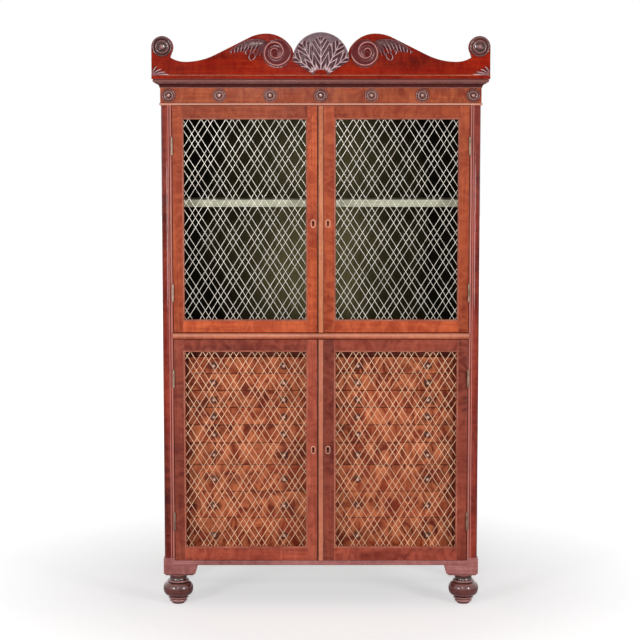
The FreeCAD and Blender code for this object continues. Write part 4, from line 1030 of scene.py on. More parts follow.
# %% Band and bead at the foot of the pediment
width = (-PEDIMENT[ACROSS][1], PEDIMENT[ACROSS][1])
band_top = PEDIMENT_BASE + BAND_HEIGHT
bead_back = PEDIMENT_FACE + 1
mesh = start_mesh()
board(mesh, width, (PEDIMENT[DEEP][0], bead_back), (PEDIMENT_BASE, band_top), ease=1.5)
lay_grain(mesh, "across", board=17)
finish(mesh, "pediment_base_band", "carcase", pediment_wood, sharp=FLAT)
mesh = start_mesh()
bead_round = arc((PEDIMENT_FACE - BEAD_RADIUS, band_top + BEAD_RADIUS), BEAD_RADIUS, 90, 270, 8)
run(mesh, [(bead_back, band_top + BEAD_RADIUS * 2), *bead_round, (bead_back, band_top)],
    "across", *width)
lay_grain(mesh, "across", board=18)
finish(mesh, "pediment_base_bead", "carcase", rail_wood)

# %% [markdown]
# ## Carving
#
# Carved leaves could be sculpted by hand, but a formula is easier to repeat and to change. A
# flat grid is laid over the leaf, and each of its vertices is moved to the place and height
# that the leaf has there. The grid's rim is then pulled back into the board and filled, so the
# carving is closed. Each vertex also keeps its height in the `ridge` attribute for the finish.

# %% Relief from a grid
RIM_MARK = 0.3


def fill_holes(mesh, items):
    """Close the holes among what an operator returned."""
    edges = [item for item in items if isinstance(item, bmesh.types.BMEdge)]
    bmesh.ops.holes_fill(mesh, edges=edges, sides=0)


def relief(mesh, columns, rows, shape, back):
    """A carved surface. shape(u, v) gives (x, y, z, ridge); the rim goes back to a plane."""
    layer = mesh.verts.layers.float["ridge"]
    verts = bmesh.ops.create_grid(mesh, x_segments=columns, y_segments=rows, size=0.5)["verts"]
    for vert in verts:
        x, y, z, ridge = shape(vert.co.x + 0.5, vert.co.y + 0.5)
        vert.co = (x, y, z)
        vert[layer] = ridge
    bmesh.ops.remove_doubles(mesh, verts=verts, dist=0.01)
    rim = [edge for edge in edges_of(newest(mesh)) if edge.is_boundary]
    walls = bmesh.ops.extrude_edge_only(mesh, edges=rim)["geom"]
    for vert in walls:
        if isinstance(vert, bmesh.types.BMVert):
            vert.co.y = back
            vert[layer] = RIM_MARK
    fill_holes(mesh, walls)
    bmesh.ops.recalc_face_normals(mesh, faces=faces_of(newest(mesh)))


def curve_point(points, t):
    """Place and direction on a Bezier curve through four (x, z) control points."""
    (x0, z0), (x1, z1), (x2, z2), (x3, z3) = points
    s = 1 - t
    place = (s ** 3 * x0 + 3 * s * s * t * x1 + 3 * s * t * t * x2 + t ** 3 * x3,
             s ** 3 * z0 + 3 * s * s * t * z1 + 3 * s * t * t * z2 + t ** 3 * z3)
    heading = Vector((3 * s * s * (x1 - x0) + 6 * s * t * (x2 - x1) + 3 * t * t * (x3 - x2),
                      3 * s * s * (z1 - z0) + 6 * s * t * (z2 - z1) + 3 * t * t * (z3 - z2)))
    return place, heading.normalized()


def leaf(mesh, spine, width, rise, ground, hollow=0.0, pale=1.0, columns=8, rows=26):
    """One leaf or strand of carving along a spine, with a painted highlight that grows towards its
    tip.
    """
    def shape(u, v):
        (x, z), heading = curve_point(spine, v)
        swell = math.sin(math.pi * (0.12 + 0.88 * v) ** 0.85) ** 0.6 if v < 1 else 0
        across = (u - 0.5) * 2
        dip = 1 - hollow * math.exp(-(across / 0.3) ** 2)
        height = math.sqrt(max(0, 1 - across ** 2)) * dip
        half = width * swell
        return (x - heading.y * across * half, ground - rise * swell * height,
                z + heading.x * across * half, pale * height ** 2 * (0.45 + 0.55 * v))
    relief(mesh, columns, rows, shape, ground + 1)
    lay_grain(mesh, "up", board=spine[0][0] * 0.01)


def spray(mesh, first, last, count, width, rise, ground, **finish_of_leaf):
    """Leaves spread evenly from one spine to another."""
    for number in range(count):
        share = number / (count - 1)
        spine = [(x + (far_x - x) * share, z + (far_z - z) * share)
                 for (x, z), (far_x, far_z) in zip(first, last)]
        leaf(mesh, spine, width, rise, ground, **finish_of_leaf)


# %% [markdown]
# ### The shell
#
# The fan between the scrolls has five fronds. Each has a stem, and hollow leaflets that slant
# up and away from it with thin ridges between them. The grid is stretched from the short foot
# of the fan to its round top. At every vertex the frond whose stem is nearest decides the
# height, and a low red mound covers the place where all the stems meet.

# %% Carved shell
SHELL = extent("pediment_shell")
SHELL_RADIUS = SHELL[ACROSS][1]
SHELL_CENTRE = SHELL[UP][1] - SHELL_RADIUS
SHELL_FOOT = (26, SHELL[UP][0])
SHELL_GROUND = PEDIMENT_FACE - 4
LEAFLET, SLANT, LEAFLET_RIDGE = 25, math.radians(31), 2.1
FRONDS = [  # root, lean in degrees, length, half width
    ((0, 1894), 0, 124, 34), ((18, 1902), 27, 116, 25), ((-18, 1902), -27, 116, 25),
    ((26, 1896), 51, 96, 23), ((-26, 1896), -51, 96, 23)]
GROUND_MARKS = (0.35, 0.34)  # height and tone of the ground between the fronds
MOUND = (25, 14)  # radius, and how far it stands out


def frond_marks(x, z):
    """Height of the nearest frond at a point, and its tone, from 0 in a hollow to 1 on a ridge."""
    nearest, marks = 1.0, GROUND_MARKS
    for (root_x, root_z), lean, length, half in FRONDS:
        angle = math.radians(lean)
        offset = Vector((x - root_x, z - root_z))
        along = offset.x * math.sin(angle) + offset.y * math.cos(angle)
        across = abs(offset.x * math.cos(angle) - offset.y * math.sin(angle))
        width = half * min(1, 0.2 + 1.6 * along / length)
        tip = length * (1 - 0.22 * (across / half) ** 2)
        if 0 < along < tip and across < width and across / half < nearest:
            nearest = across / half
            start = (along - across / math.tan(SLANT)) / LEAFLET
            to_ridge = abs(start - round(start)) * LEAFLET * math.sin(SLANT)
            to_tip = min(tip - along, (width - across) * 0.8)
            ridge = math.exp(-(min(to_ridge, to_tip) / LEAFLET_RIDGE) ** 2)
            stem = math.exp(-(across / (3.4 - 2.2 * along / length)) ** 2)
            crest = max(ridge, stem)
            marks = (0.15 + 0.85 * crest, 0.03 + 0.9 * crest)
    return marks


def shell_shape(u, v):
    angle = math.radians(180 * u)
    rim = (-SHELL_RADIUS * math.cos(angle), SHELL_CENTRE + SHELL_RADIUS * math.sin(angle))
    foot = (SHELL_FOOT[0] * (2 * u - 1), SHELL_FOOT[1])
    x, z = foot[0] + (rim[0] - foot[0]) * v, foot[1] + (rim[1] - foot[1]) * v
    height, tone = frond_marks(x, z)
    # The border by the rim stands out a little and takes half the crest's tone: a painted sheen
    # along the rim.
    border = math.exp(-((v - 0.985) / 0.016) ** 2)
    swell = 4 * math.sin(math.pi * min(v * 1.02, 1)) ** 0.5
    return x, SHELL_GROUND - swell - 5 * max(height, 0.6 * border), z, max(tone, 0.5 * border)


def cut_away(mesh, point, normal):
    """Cut off what lies beyond a plane, and close the cut."""
    everything = mesh.verts[:] + mesh.edges[:] + mesh.faces[:]
    fill_holes(mesh, bmesh.ops.bisect_plane(
        mesh, geom=everything, dist=HAIRLINE, plane_co=point, plane_no=normal,
        clear_outer=True)["geom_cut"])


mesh = start_mesh()
relief(mesh, 220, 150, shell_shape, PEDIMENT_FACE + 1)
lay_grain(mesh, "up", board=18)
shell = finish(mesh, "carved_shell", "carcase", carved_wood,
               ["pediment_shell"], sharp=CARVED)
mesh = start_mesh()
crest_points = arc((0, SHELL_CENTRE), SHELL_RADIUS - 0.6, 17, 163, 40)
run(mesh, crest_points, "deep", PEDIMENT_FACE - 2, SHELL[DEEP][1])
lay_grain(mesh, "up", board=19)
finish(mesh, "shell_crest_block", "carcase", carved_wood)
mesh = start_mesh()
mound = [(MOUND[0] * math.cos(math.radians(a)), MOUND[1] * math.sin(math.radians(a)))
         for a in range(0, 91, 9)]
face_turning(mesh, [(0, -1), (MOUND[0], -1), *mound], (0, PEDIMENT_FACE, SHELL_FOOT[1]), 40)
cut_away(mesh, (0, 0, SHELL_FOOT[1] - 2), (0, 0, -1))
lay_grain(mesh, "across", board=20)
finish(mesh, "shell_mound", "carcase", pediment_wood)
print(len(shell.data.polygons), "faces in the shell")

# %% [markdown]
# ### Volutes and acanthus
#
# A volute is a dished disc with a fillet that winds in towards an eye. The grid is wrapped
# round the centre, one side joined to the other, and the height comes from how far a point
# lies from the nearest turn of the spiral. The acanthus beside it is a bent midrib with eight
# strands that hang from it, three broad lobes against the volute and three small hooks, all on
# a low bed. Smaller leaves fill the outer corners and stand below the shell.

# %% Carved scrolls
VOLUTE, VOLUTE_RADIUS = (152, 1959), 49
EYE = (160, 1965)
COIL = [56, 45, 35, 33, 29, 21, 14.5, 12.5, 11]  # distance from the eye at each quarter turn
COIL_TURNS = 2


def coil_radius(turn):
    """Distance of the fillet from the eye after some turns, smooth from quarter to quarter."""
    step = min(int(turn * 4), len(COIL) - 2)
    share = turn * 4 - step
    places = [min(max(step + shift, 0), len(COIL) - 1) for shift in (-1, 0, 1, 2)]
    before, start, end, after = (COIL[place] for place in places)
    return (start + share * (end - before) / 2
            + share ** 2 * (before - 2.5 * start + 2 * end - after / 2)
            + share ** 3 * (1.5 * (start - end) + (after - before) / 2))


def fillet(turn, r):
    """Height of the fillet at a distance from the eye. It fades in and out at its two ends."""
    fade = min(1, turn / 0.06, (COIL_TURNS - turn) / 0.12)
    return fade * math.exp(-((r - coil_radius(turn)) / (2.6 - 0.4 * turn)) ** 2)


def volute_shape(side):
    """Shape of the scroll on one side of the pediment."""
    def shape(u, v):
        angle = math.tau * u
        heading = Vector((math.cos(angle), -math.sin(angle)))
        to_middle = Vector((EYE[0] - VOLUTE[0], VOLUTE[1] - EYE[1]))
        beside = heading.dot(to_middle)
        rim = beside + math.sqrt(beside ** 2 + VOLUTE_RADIUS ** 2 - to_middle.length_squared)
        r = rim * v
        crest = max(fillet(turn, r) for turn in (u, u + 1))
        eye = math.exp(-(r / 7) ** 4)
        # The flare swells inside the first turn, and its ridge mark paints a pale highlight in the
        # dish there.
        flare = math.exp(-((r - 20) / 6) ** 2) * max(0, math.cos(angle - 0.5)) ** 3
        dish = 3.5 + 2.5 * math.cos(math.pi * v) ** 2
        height = dish + 5 * max(crest, 0.8 * eye, 0.4 * flare)
        return (side * (EYE[0] - r * heading.x), PEDIMENT_FACE - height,
                EYE[1] + r * heading.y, max(crest, 0.5 * flare))
    return shape


mesh = start_mesh()
for side in HANDS.values():
    relief(mesh, 96, 34, volute_shape(side), PEDIMENT_FACE + 1)
    lay_grain(mesh, "across", board=20 + side)
finish(mesh, "carved_volutes", "carcase", scroll_wood,
       ["pediment_scrolls"], sharp=CARVED)

# %% Carved leaves
# Each spine is four (x, z) control points, drawn on the left of the pediment.
MIDRIB = [(-186, 1999), (-222, 2017), (-276, 2006), (-322, 1960)]
BROAD_TOP = [(-189, 1996), (-206, 1988), (-218, 1972), (-224, 1949)]
BROAD_FOOT = [(-186, 1984), (-193, 1976), (-198, 1963), (-200, 1950)]
HOOKS = [[(-234, 1966), (-252, 1956), (-252, 1938), (-240, 1935)],
         [(-230, 1962), (-224, 1952), (-226, 1941), (-239, 1937)],
         [(-250, 1974), (-262, 1968), (-264, 1960), (-256, 1956)]]
BED = [(-190, 1990), (-235, 1998), (-270, 1984), (-300, 1964)]
CORNER_TOP = [(-583, 1892), (-581, 1900), (-576, 1908), (-568, 1916)]
CORNER_FOOT = [(-582, 1884), (-562, 1888), (-542, 1889), (-522, 1886)]
STEM = [(-30, 1885), (-28, 1892), (-27, 1898), (-21, 1908)]
STRANDS = 8


def mirrored(side, spine):
    return [(-x * side, z) for x, z in spine]


def strand(share):
    """Spine of one strand that leaves the midrib and hangs down from it."""
    (x, z), heading = curve_point(MIDRIB, 0.1 + 0.8 * share)
    end = (-236 - 76 * share, 1957 + 6 * math.sin(math.pi * share))
    return [(x, z - 3), (x + heading.x * 20, z - 3 + heading.y * 20 - 3),
            (end[0] + 9, end[1] + 20), end]


mesh = start_mesh()
ground = PEDIMENT_FACE - 1
for side in HANDS.values():
    leaf(mesh, mirrored(side, BED), 17, 2, PEDIMENT_FACE, pale=0)
    leaf(mesh, mirrored(side, MIDRIB), 2.6, 7, ground, pale=0.7)
    for number in range(STRANDS):
        leaf(mesh, mirrored(side, strand(number / (STRANDS - 1))), 2.5, 8, ground, columns=6)
    spray(mesh, mirrored(side, BROAD_TOP), mirrored(side, BROAD_FOOT), 3, 5, 10, ground,
          hollow=0.5)
    for spine in HOOKS:
        leaf(mesh, mirrored(side, spine), 3.2, 9, ground)
    spray(mesh, mirrored(side, CORNER_TOP), mirrored(side, CORNER_FOOT), 4, 4.2, 7,
          PEDIMENT_FACE, rows=16)
    leaf(mesh, mirrored(side, STEM), 3, 13, PEDIMENT_FACE, rows=12)
finish(mesh, "carved_acanthus", "carcase", leaf_wood, sharp=CARVED)

# %% [markdown]
# ## The tongues of the backboards
#
# The back is made of seven upright boards with a hair's gap between them, so that each can
# swell and shrink with the weather. A thin tongue bridges every gap and keeps the light and
# the dust out. Only its painted edge can be seen.

# %% Backboard tongues
BOARD_COUNT, HAIR, TONGUE_HALF, TONGUE_INSET = 7, 0.4, 3, 4
(back_left, back_right), (back_front, back_rear), back_up = extent("backboards")
board_width = (back_right - back_left - HAIR * (BOARD_COUNT - 1)) / BOARD_COUNT
mesh = start_mesh()
for number in range(1, BOARD_COUNT):
    middle = back_left + (board_width + HAIR) * number - HAIR / 2
    board(mesh, (middle - TONGUE_HALF, middle + TONGUE_HALF),
          (back_front + TONGUE_INSET, back_rear - TONGUE_INSET), back_up, ease=0.3, steps=1)
    lay_grain(mesh, "up", board=number)
finish(mesh, "backboard_tongues", "carcase", tongue_paint, sharp=FLAT)

# %% [markdown]
# ## The shelf
#
# One painted shelf divides the upper cupboard. It is a single board with eased edges.

# %% Shelf
mesh = start_mesh()
board(mesh, *extent("shelf"), ease=2, steps=3)
lay_grain(mesh, "across", board=24)
finish(mesh, "painted_shelf_board", "carcase", sage_paint, ["shelf"],
       sharp=FLAT)

# %% [markdown]
# ## Doors
#
# Each door has two upright stiles and two rails between them, with a bead round the opening.
# The joints show as fine lines because each member is its own board, eased a little at its
# edges, and because the grain turns there.

# %% Door frames
OPENINGS = {"lower": (217, 916), "upper": (1032, 1733)}
OPENING_ACROSS = (52.5, 480)
SIGHT_BEAD, BEAD_PROUD, BEAD_ROUND = 6, 1.5, 2.2
FIRST_PLANK = {"lower": 30, "upper": 40}
JOINT = 0.1  # the rails stop this short of the stiles
# Besides each plank's own tone, the bottom rails are made lighter as painted sheen low on the
# doors, and the upper top rails darker as painted shade under the cornice.
MEMBER_TONES_AND_PAINTED_LIGHT = {  # outer stile, meeting stile, bottom rail, top rail
    ("upper", "left"): (0.0, 0.25, 0.3, -0.2), ("upper", "right"): (-0.05, 0.05, 0.25, -0.1),
    ("lower", "left"): (-0.05, 0.3, 0.5, 0.12), ("lower", "right"): (0.05, -0.03, 0.45, 0.1)}
EVERY_DOOR = [(level, hand) for level in DOOR_WOODS for hand in HANDS]


def opening_of(level, hand, wider):
    """Spans of a door's opening across and up, made wider all round."""
    left, right = sorted(edge * HANDS[hand] for edge in OPENING_ACROSS)
    low, high = OPENINGS[level]
    return (left - wider, right + wider), (low - wider, high + wider)


def frame_run(mesh, across, up, profile):
    """A mitred moulding round a rectangle, from points of (distance inwards, depth)."""
    lines = []
    for d, y in profile:
        left, right, low, high = across[0] + d, across[1] - d, up[0] + d, up[1] - d
        lines.append([(left, y, low), (right, y, low), (right, y, high), (left, y, high)])
    moulding(mesh, lines, closed_path=True)


for level, hand in EVERY_DOOR:
    door, slot, side = f"{level}_{hand}", f"{level}_door_mahogany", HANDS[hand]
    whole = extent(f"{door}_door_frame")
    (left, right), (low, high) = opening_of(level, hand, wider=SIGHT_BEAD)
    outer_tone, meeting_tone, bottom_tone_and_painted_light, top_tone_and_painted_light = MEMBER_TONES_AND_PAINTED_LIGHT[level, hand]
    left_tone, right_tone = (outer_tone, meeting_tone)[::-side]
    between = (left + JOINT, right - JOINT)
    members = [("up", (whole[ACROSS][0], left), whole[UP], left_tone),
               ("up", (right, whole[ACROSS][1]), whole[UP], right_tone),
               ("across", between, (whole[UP][0], low), bottom_tone_and_painted_light),
               ("across", between, (high, whole[UP][1]), top_tone_and_painted_light)]
    plank = FIRST_PLANK[level] + side * 3
    mesh = start_mesh()
    for number, (along, across, up, tone) in enumerate(members):
        board(mesh, across, (FRONT, whole[DEEP][1]), up, ease=0.7)
        lay_grain(mesh, along, board=plank + number, tone=tone)
    finish(mesh, f"{door}_stiles_and_rails", f"{door}_door", DOOR_WOODS[level],
           [f"{door}_door_frame"], sharp=FLAT)
    mesh = start_mesh()
    face = FRONT - BEAD_PROUD
    frame_run(mesh, (left, right), (low, high), [
        (0, FRONT + 6.5), (0, face + 2),
        *arc((BEAD_ROUND, face + BEAD_ROUND), BEAD_ROUND, 180, 330, 6),
        (SIGHT_BEAD - 1.2, FRONT + 3), (SIGHT_BEAD, FRONT + 4.2), (SIGHT_BEAD, FRONT + 6.5)])
    lay_grain(mesh, "up", board=plank + 4)
    finish(mesh, f"{door}_sight_bead", f"{door}_door", bead_wood)
print(len(EVERY_DOOR), "door frames")

# %% [markdown]
# ## Brass lattice
#
# Two layers of thin strips lean opposite ways. Every fourth strip is left out, which turns a
# plain diamond net into wide and narrow diamonds. The strips are made too long, and four planes
# then cut them all to the opening. There are hundreds of them, so each is a bar of only a few
# faces.

# %% Lattice
THICK, PITCH, SLOPE, BORDER = 2.6, 21.8, math.radians(57.7), 4
STRIP_WIDTHS = {"lower": 2.5, "upper": 1.8}
FRONT_SHARE = 0.6  # how wide a strip is at its front, beside its back
LEFT_OUT = 4  # every fourth strip
LATTICE_FRONT = FRONT + 8
LATTICE_BACK = LATTICE_FRONT + THICK * 2


def strip(mesh, length, width, middle, lean, front):
    """One strip of brass, narrower at its front than at its back."""
    verts = bmesh.ops.create_cube(mesh, size=1)["verts"]
    bmesh.ops.scale(mesh, vec=(length, THICK, width), verts=verts)
    for vert in verts:
        if vert.co.y < 0:
            vert.co.z *= FRONT_SHARE
    turn = Matrix.Rotation(lean, 3, "Y")
    bmesh.ops.rotate(mesh, cent=(0, 0, 0), matrix=turn, verts=verts)
    bmesh.ops.translate(mesh, vec=(middle[0], front + THICK / 2, middle[1]), verts=verts)


def lattice(level, hand):
    """Two layers of strips cut to a door's opening, in a border of brass."""
    across, up = opening_of(level, hand, wider=SIGHT_BEAD - BORDER)
    middle = (across[0] + across[1]) / 2
    run_off = (up[1] - up[0]) / math.tan(SLOPE)
    reach = math.ceil(((across[1] - across[0]) / 2 + run_off) / PITCH)
    length = math.hypot(up[1] - up[0], run_off) + 30
    mesh = start_mesh()
    for layer, lean in ((0, 1), (1, -1)):
        for step in range(-reach, reach + 1):
            if step % LEFT_OUT:
                top_x = middle + step * PITCH
                centre = (top_x - lean * run_off / 2, (up[0] + up[1]) / 2)
                strip(mesh, length, STRIP_WIDTHS[level], centre, -SLOPE * lean,
                      LATTICE_FRONT + layer * THICK)
    for x, normal in zip(across, (-1, 1)):
        cut_away(mesh, (x, 0, 0), (normal, 0, 0))
    for z, normal in zip(up, (-1, 1)):
        cut_away(mesh, (0, 0, z), (0, 0, normal))
    lay_grain(mesh, "across")
    rim = [(low - BORDER, high + BORDER) for low, high in (across, up)]
    frame_run(mesh, *rim, [
        (0, LATTICE_BACK), (0, LATTICE_FRONT), (BORDER - 0.6, LATTICE_FRONT),
        (BORDER, LATTICE_FRONT + 0.6), (BORDER, LATTICE_BACK)])
    lay_grain(mesh, "across")
    door = f"{level}_{hand}"
    return finish(mesh, f"{door}_brass_lattice", f"{door}_door", LATTICE_BRASSES[level],
                  [f"{door}_lattice"], sharp=FLAT)


for level, hand in EVERY_DOOR:
    made = lattice(level, hand)
    print(made.name, len(made.data.polygons), "faces")

# %% [markdown]
# ## Meeting strips, locks and hinges
#
# The right door of each pair carries a rounded strip beside the gap, and a thin lip inside the
# gap that keeps the light out. The lip is short enough for either door to open first. Each
# meeting stile has a thin oblong ring of brass let in round its keyhole, with the steel case
# of its lock behind. The butt hinges show as slim barrels beside the posts.

# %% Astragals
FOOT_OF_ROUND, QUIRK = 1.6, (2.4, 2.8)  # the astragal's flat foot and the groove above it
LIP = {"reach": 1.75, "lap": 1, "depth": (7, 15)}

for level in DOOR_WOODS:
    span = extent(f"{level}_astragal")
    half, reach = (span[ACROSS][1] - span[ACROSS][0]) / 2, span[DEEP][1] - span[DEEP][0]
    middle, back = sum(span[ACROSS]) / 2, span[DEEP][1]
    shoulder = back - FOOT_OF_ROUND
    angles = [math.pi - math.pi * step / 12 for step in range(13)]
    outline = [(middle - half, back), (middle - half, shoulder),
               (middle - half + QUIRK[0], shoulder), (middle - half + QUIRK[1], back - 2.6),
               *[(middle + (half - 3.2) * math.cos(a), back - 2.8 - (reach - 2.8) * math.sin(a))
                 for a in angles],
               (middle + half - QUIRK[1], back - 2.6), (middle + half - QUIRK[0], shoulder),
               (middle + half, shoulder), (middle + half, back)]
    # The low marks at both edges of the strip darken them with the groove colour: a painted shadow
    # line beside the gap.
    marks = [0.2, 0.2, 0.25, 0.35, *fullness(outline, MOULDED_REACH)[4:-4], 0.3, 0.1, 0.1, 0.1]
    mesh = start_mesh()
    run(mesh, outline, "up", *span[UP], marks=marks)
    lay_grain(mesh, "up", board=50)
    finish(mesh, f"{level}_rounded_astragal", f"{level}_right_door", ASTRAGAL_WOODS[level],
           [f"{level}_astragal"])
    edge = DOORS[level][ACROSS][0]
    mesh = start_mesh()
    board(mesh, (edge - LIP["reach"], edge + LIP["lap"]),
          (FRONT + LIP["depth"][0], FRONT + LIP["depth"][1]), span[UP], ease=0.2, steps=1)
    lay_grain(mesh, "up", board=51)
    finish(mesh, f"{level}_rebate_lip", f"{level}_right_door", rebate_wood,
           sharp=FLAT)

# %% Locks and escutcheons
KEYHOLES = {"lower": 566, "upper": 1370}
KEYHOLE_PLACE = 26  # from the middle of the gap between the doors
MEETING_LINE = -1  # the middle of that gap
STRETCH = 6  # how far each half of the ring is moved to make it oblong
CASE_HALF, CASE_THICK, CASE_BELOW, CASE_ABOVE = 12.5, 11, 32, 24


def escutcheon(mesh, x, z):
    """A thin ring of brass let into the wood, turned and then drawn out up and down."""
    thread = [(6.3, -1), (6.3, 0.6), (6.8, 1.0), (7.6, 1.0), (8.2, 0.5), (8.2, -1), (6.3, -1)]
    face_turning(mesh, thread, (x, FRONT, z), 32)
    for vert in newest(mesh):
        vert.co.z += STRETCH if vert.co.z > z + 0.01 else -STRETCH


def keyhole(mesh, x, z):
    """A black plate where the keyhole would be cut, as painted shadow in the hole: a round top with
    a slot below it.
    """
    outline = [*arc((0, 4), 3.7, -60, 240, 16), (-2.1, -8), (2.1, -8)]
    run(mesh, [(x + a, z + b) for a, b in outline], "deep", FRONT - 0.15, FRONT + 1)


def lock_case(mesh, x, z, back):
    board(mesh, (x - CASE_HALF, x + CASE_HALF), (back - CASE_THICK, back),
          (z - CASE_BELOW, z + CASE_ABOVE))


for level, hand in EVERY_DOOR:
    door = f"{level}_{hand}"
    place = (HANDS[hand] * KEYHOLE_PLACE + MEETING_LINE, KEYHOLES[level])
    mesh = start_mesh()
    escutcheon(mesh, *place)
    lay_grain(mesh, "up")
    finish(mesh, f"{door}_escutcheon", f"{door}_door", plate_brass,
           [f"{door}_lock"])
    mesh = start_mesh()
    keyhole(mesh, *place)
    lay_grain(mesh, "up")
    finish(mesh, f"{door}_keyhole", f"{door}_door", keyhole_painted_shadow)
    mesh = start_mesh()
    lock_case(mesh, *place, extent(f"{door}_lock")[DEEP][1])
    lay_grain(mesh, "up")
    finish(mesh, f"{door}_lock_case", f"{door}_door", steel, sharp=FLAT)

# %% Hinges
HINGE_BASES = {"lower": (278, 791), "upper": (1095, 1609)}
HINGE = {"x": 520.75, "y": -207.2, "radius": 3.6, "length": 62}
LEAF_THICK, LEAF_DEEP, LEAF_EDGE = 1.2, 17, 1.25
KNUCKLE_GAP = 0.4


def barrel(mesh, x, low, high):
    """A round knuckle with softened ends."""
    radius = HINGE["radius"]
    profile = [(0, low), (radius - 0.5, low), (radius, low + 0.5), (radius, high - 0.5),
               (radius - 0.5, high), (0, high)]
    turning(mesh, profile, (x, HINGE["y"], 0), sides=20)
    lay_grain(mesh, "up")


def hinge_half(mesh, side, base, moving):
    """The knuckles and leaf of one half of a butt hinge. The fixed half has the pin's ends."""
    x, top = HINGE["x"] * side, base + HINGE["length"]
    third = HINGE["length"] / 3
    if moving:
        barrel(mesh, x, base + third + KNUCKLE_GAP, base + third * 2 - KNUCKLE_GAP)
        leaf_edge = -LEAF_EDGE
    else:
        barrel(mesh, x, base, base + third)
        barrel(mesh, x, base + third * 2, top)
        for end, sign in ((base, -1), (top, 1)):
            ball = [(0, end), (1.6, end), (2.3, end + 1.0 * sign), (1.8, end + 2.2 * sign),
                    (0, end + 2.8 * sign)]
            turning(mesh, ball, (x, HINGE["y"], 0), sides=16)
            lay_grain(mesh, "up")
        leaf_edge = LEAF_EDGE - LEAF_THICK
    edges = sorted([x + leaf_edge * side, x + (leaf_edge + LEAF_THICK) * side])
    board(mesh, edges, (FRONT, FRONT + LEAF_DEEP), (base, top), ease=0.2, steps=1)
    lay_grain(mesh, "up")


mesh = start_mesh()
for level, hand in EVERY_DOOR:
    for base in HINGE_BASES[level]:
        hinge_half(mesh, HANDS[hand], base, moving=False)
finish(mesh, "fixed_hinge_halves", "carcase", fitting_brass,
       ["fixed_hinge_leaves"])
for level, hand in EVERY_DOOR:
    door = f"{level}_{hand}"
    mesh = start_mesh()
    for base in HINGE_BASES[level]:
        hinge_half(mesh, HANDS[hand], base, moving=True)
    finish(mesh, f"{door}_hinge_halves", f"{door}_door", fitting_brass,
           [f"{door}_hinge_leaves"])

# %% [markdown]
# ## Drawers
#
# There are two banks of nine drawers, deeper towards the floor. Each has a figured front, a
# plain deal box with its joints hidden, and two turned knobs. The CAD node gives each drawer's
# size, and the front, box and knobs made here fill it.

# %% Drawer fronts, boxes and knobs
DRAWER_FACE = -145
FRONT_THICK, SIDE_THICK, BOTTOM_THICK = 18, 9, 5
SIDE_INSET, BELOW, ABOVE = 1, 6.5, 7  # how far the box stays inside its front
KNOB_SPACING = 125  # from the middle of the front
KNOB_HEIGHT = 0.48  # share of the height of the drawer's opening
DRAWER_GAP = 1  # between a front and its opening
FIRST_DRAWER_PLANK = 61
# The marks stay low at the stem, darkening it as dirt and painted shade, and rise to 1 at the
# middle of the dome: a painted highlight.
KNOB_MARKS_WITH_HIGHLIGHT = [*[0.1] * 6, *[0.3] * 3, *[0.45] * 3, 0.2, 0.2, 0.3, 0.45, 0.6, 0.75, 0.9, 1]


def knob_profile():
    """Radius and reach of a turned knob: a stem, a flare, a rim and a flat dome."""
    dome = [(9 * math.sin(math.radians(a)), 18.6 + 1.3 * math.cos(math.radians(a)))
            for a in range(75, -1, -15)]
    return [(0, SUNK), (6, SUNK), (5.6, 3), (5.8, 6), (7.5, 9), (11.5, 11.6),
            *arc((11, 14), 2, -50, 90, 5), (9.6, 15.2), (9.2, 17.4), *dome]


def drawer_box(mesh, left, right, low, high, rear, plank):
    """Two sides, a back and a bottom behind a drawer's front."""
    bottom, top = low + BELOW, high - ABOVE
    inner = (left + SIDE_INSET + SIDE_THICK, right - SIDE_INSET - SIDE_THICK)
    deep = (DRAWER_FACE + FRONT_THICK, rear)
    for span in ((left + SIDE_INSET, inner[0]), (inner[1], right - SIDE_INSET)):
        board(mesh, span, deep, (bottom, top), ease=0.6, steps=1)
        lay_grain(mesh, "deep", board=plank + 0.3)
    board(mesh, inner, (rear - SIDE_THICK, rear), (bottom + BOTTOM_THICK, top), ease=0.6, steps=1)
    lay_grain(mesh, "across", board=plank + 0.5)
    board(mesh, inner, deep, (bottom, bottom + BOTTOM_THICK), ease=0.4, steps=1)
    lay_grain(mesh, "deep", board=plank + 0.7)


names = [f"drawer_{hand}_{row}" for hand in HANDS for row in range(1, 10)]
for plank, name in enumerate(names, start=FIRST_DRAWER_PLANK):
    (left, right), (_, rear), (low, high) = extent(name)
    mesh = start_mesh()
    board(mesh, (left, right), (DRAWER_FACE, DRAWER_FACE + FRONT_THICK), (low, high), ease=1.1)
    lay_grain(mesh, "across", board=plank)
    finish(mesh, f"{name}_front", name, drawer_wood, [name], sharp=FLAT)
    mesh = start_mesh()
    drawer_box(mesh, left, right, low, high, rear, plank)
    finish(mesh, f"{name}_box", name, drawer_deal, sharp=FLAT)
    mesh = start_mesh()
    knob_height = low - DRAWER_GAP + (high - low + DRAWER_GAP * 2) * KNOB_HEIGHT
    for offset in (-KNOB_SPACING, KNOB_SPACING):
        place = ((left + right) / 2 + offset, DRAWER_FACE, knob_height)
        face_turning(mesh, knob_profile(), place, 28, KNOB_MARKS_WITH_HIGHLIGHT)
        lay_grain(mesh, "deep", board=plank)
    finish(mesh, f"{name}_knobs", name, knob_wood)
print(len(names), "drawers")

# %% [markdown]
# ## Floor, light and camera
#
# The cabinet stands on a plain pale floor. Soft lamps to the left and right light its rounded
# edges, and a smaller one in front lights the carving and reaches through the lattices. The
# world is bright only where the camera or a reflection sees it, so the background is white
# without more light falling on the cabinet. The floor glows a little to the camera further
# out, which hides where it ends and keeps the shadow under the cabinet.

# %% Floor
FLOOR_HALF = 40
GLOW_STARTS, GLOW_ENDS = 0.7, 2.4  # metres from the middle of the cabinet

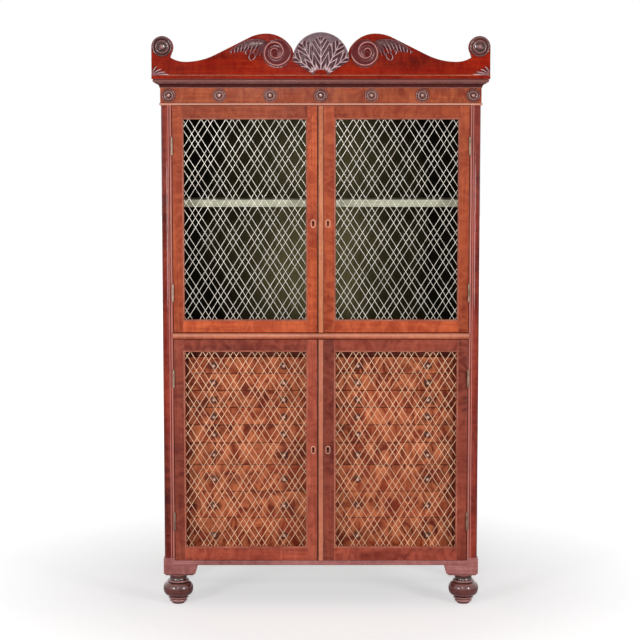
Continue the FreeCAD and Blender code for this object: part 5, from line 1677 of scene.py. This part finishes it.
mesh = bmesh.new()
bmesh.ops.create_grid(mesh, x_segments=1, y_segments=1, size=FLOOR_HALF)
floor_data = bpy.data.meshes.new("floor")
mesh.to_mesh(floor_data)
mesh.free()
floor = bpy.data.objects.new("floor", floor_data)
scene.collection.objects.link(floor)
floor_material, tree, shader = start_material("pale_floor")
set_sockets(shader, Base_Color=(0.82, 0.82, 0.82, 1), Roughness=0.9, Specular_IOR_Level=0.1)
seen = add(tree, "ShaderNodeLightPath").outputs
outwards = spread(tree, distance_from_origin(tree, object_place(tree)), GLOW_STARTS, GLOW_ENDS,
                  0.5, 1.0)
glow = add(tree, "ShaderNodeEmission", {
    "Color": (1, 1, 1, 1), "Strength": times(tree, seen["Is Camera Ray"], outwards)})
both = add(tree, "ShaderNodeAddShader", {0: shader.outputs[0], 1: glow.outputs[0]})
tree.links.new(both.outputs[0], tree.nodes["Material Output"].inputs["Surface"])
floor_data.materials.append(floor_material)

# %% World
AMBIENT = 0.26  # how bright the world is to the surfaces it lights

world = bpy.data.worlds.new("studio")
scene.world = world
world.use_nodes = True
tree = world.node_tree
seen = add(tree, "ShaderNodeLightPath").outputs
shown = plus(tree, plus(tree, seen["Is Camera Ray"], seen["Is Glossy Ray"]),
             seen["Is Transmission Ray"], clamp=True)
background = tree.nodes["Background"].inputs
tree.links.new(plus(tree, AMBIENT, times(tree, shown, 1 - AMBIENT)), background["Strength"])
background["Color"].default_value = (1, 1, 1, 1)


# %% Lamps
AIM = (0, 0, 1.0)  # the middle of the cabinet


def soft_lamp(name, place, size, power):
    """A rectangular lamp that faces the middle of the cabinet."""
    data = bpy.data.lights.new(name, "AREA")
    data.shape, (data.size, data.size_y), data.energy = "RECTANGLE", size, power
    lamp = bpy.data.objects.new(name, data)
    scene.collection.objects.link(lamp)
    lamp.location = place
    lamp.rotation_euler = (Vector(AIM) - Vector(place)).to_track_quat("-Z", "Y").to_euler()


soft_lamp("left_softbox", (-2.5, -3.5, 1.15), (1.0, 0.8), 50)
soft_lamp("right_softbox", (2.8, -3.1, 1.15), (1.0, 0.8), 50)
soft_lamp("front_lamp", (-0.3, -5.6, 2.5), (0.5, 0.5), 34)

# %% Camera
# The lens is worked out for a picture of 640 by 640. The camera stands just under six metres
# in front of the doors at eye level, and looks down by five and a half degrees.
PICTURE, FOCAL, SENSOR = 640, 1700, 36  # pixels, pixels, millimetres
LOOK_DOWN = 0.09599  # radians

camera_data = bpy.data.cameras.new("camera")
camera_data.sensor_width = SENSOR
camera_data.lens = FOCAL / PICTURE * SENSOR
camera = bpy.data.objects.new("camera", camera_data)
scene.collection.objects.link(camera)
camera.location = (-0.003, -6.173, 1.605)
camera.rotation_euler = (math.pi / 2 - LOOK_DOWN, 0, 0)
scene.camera = camera
scene.view_settings.view_transform = "Standard"
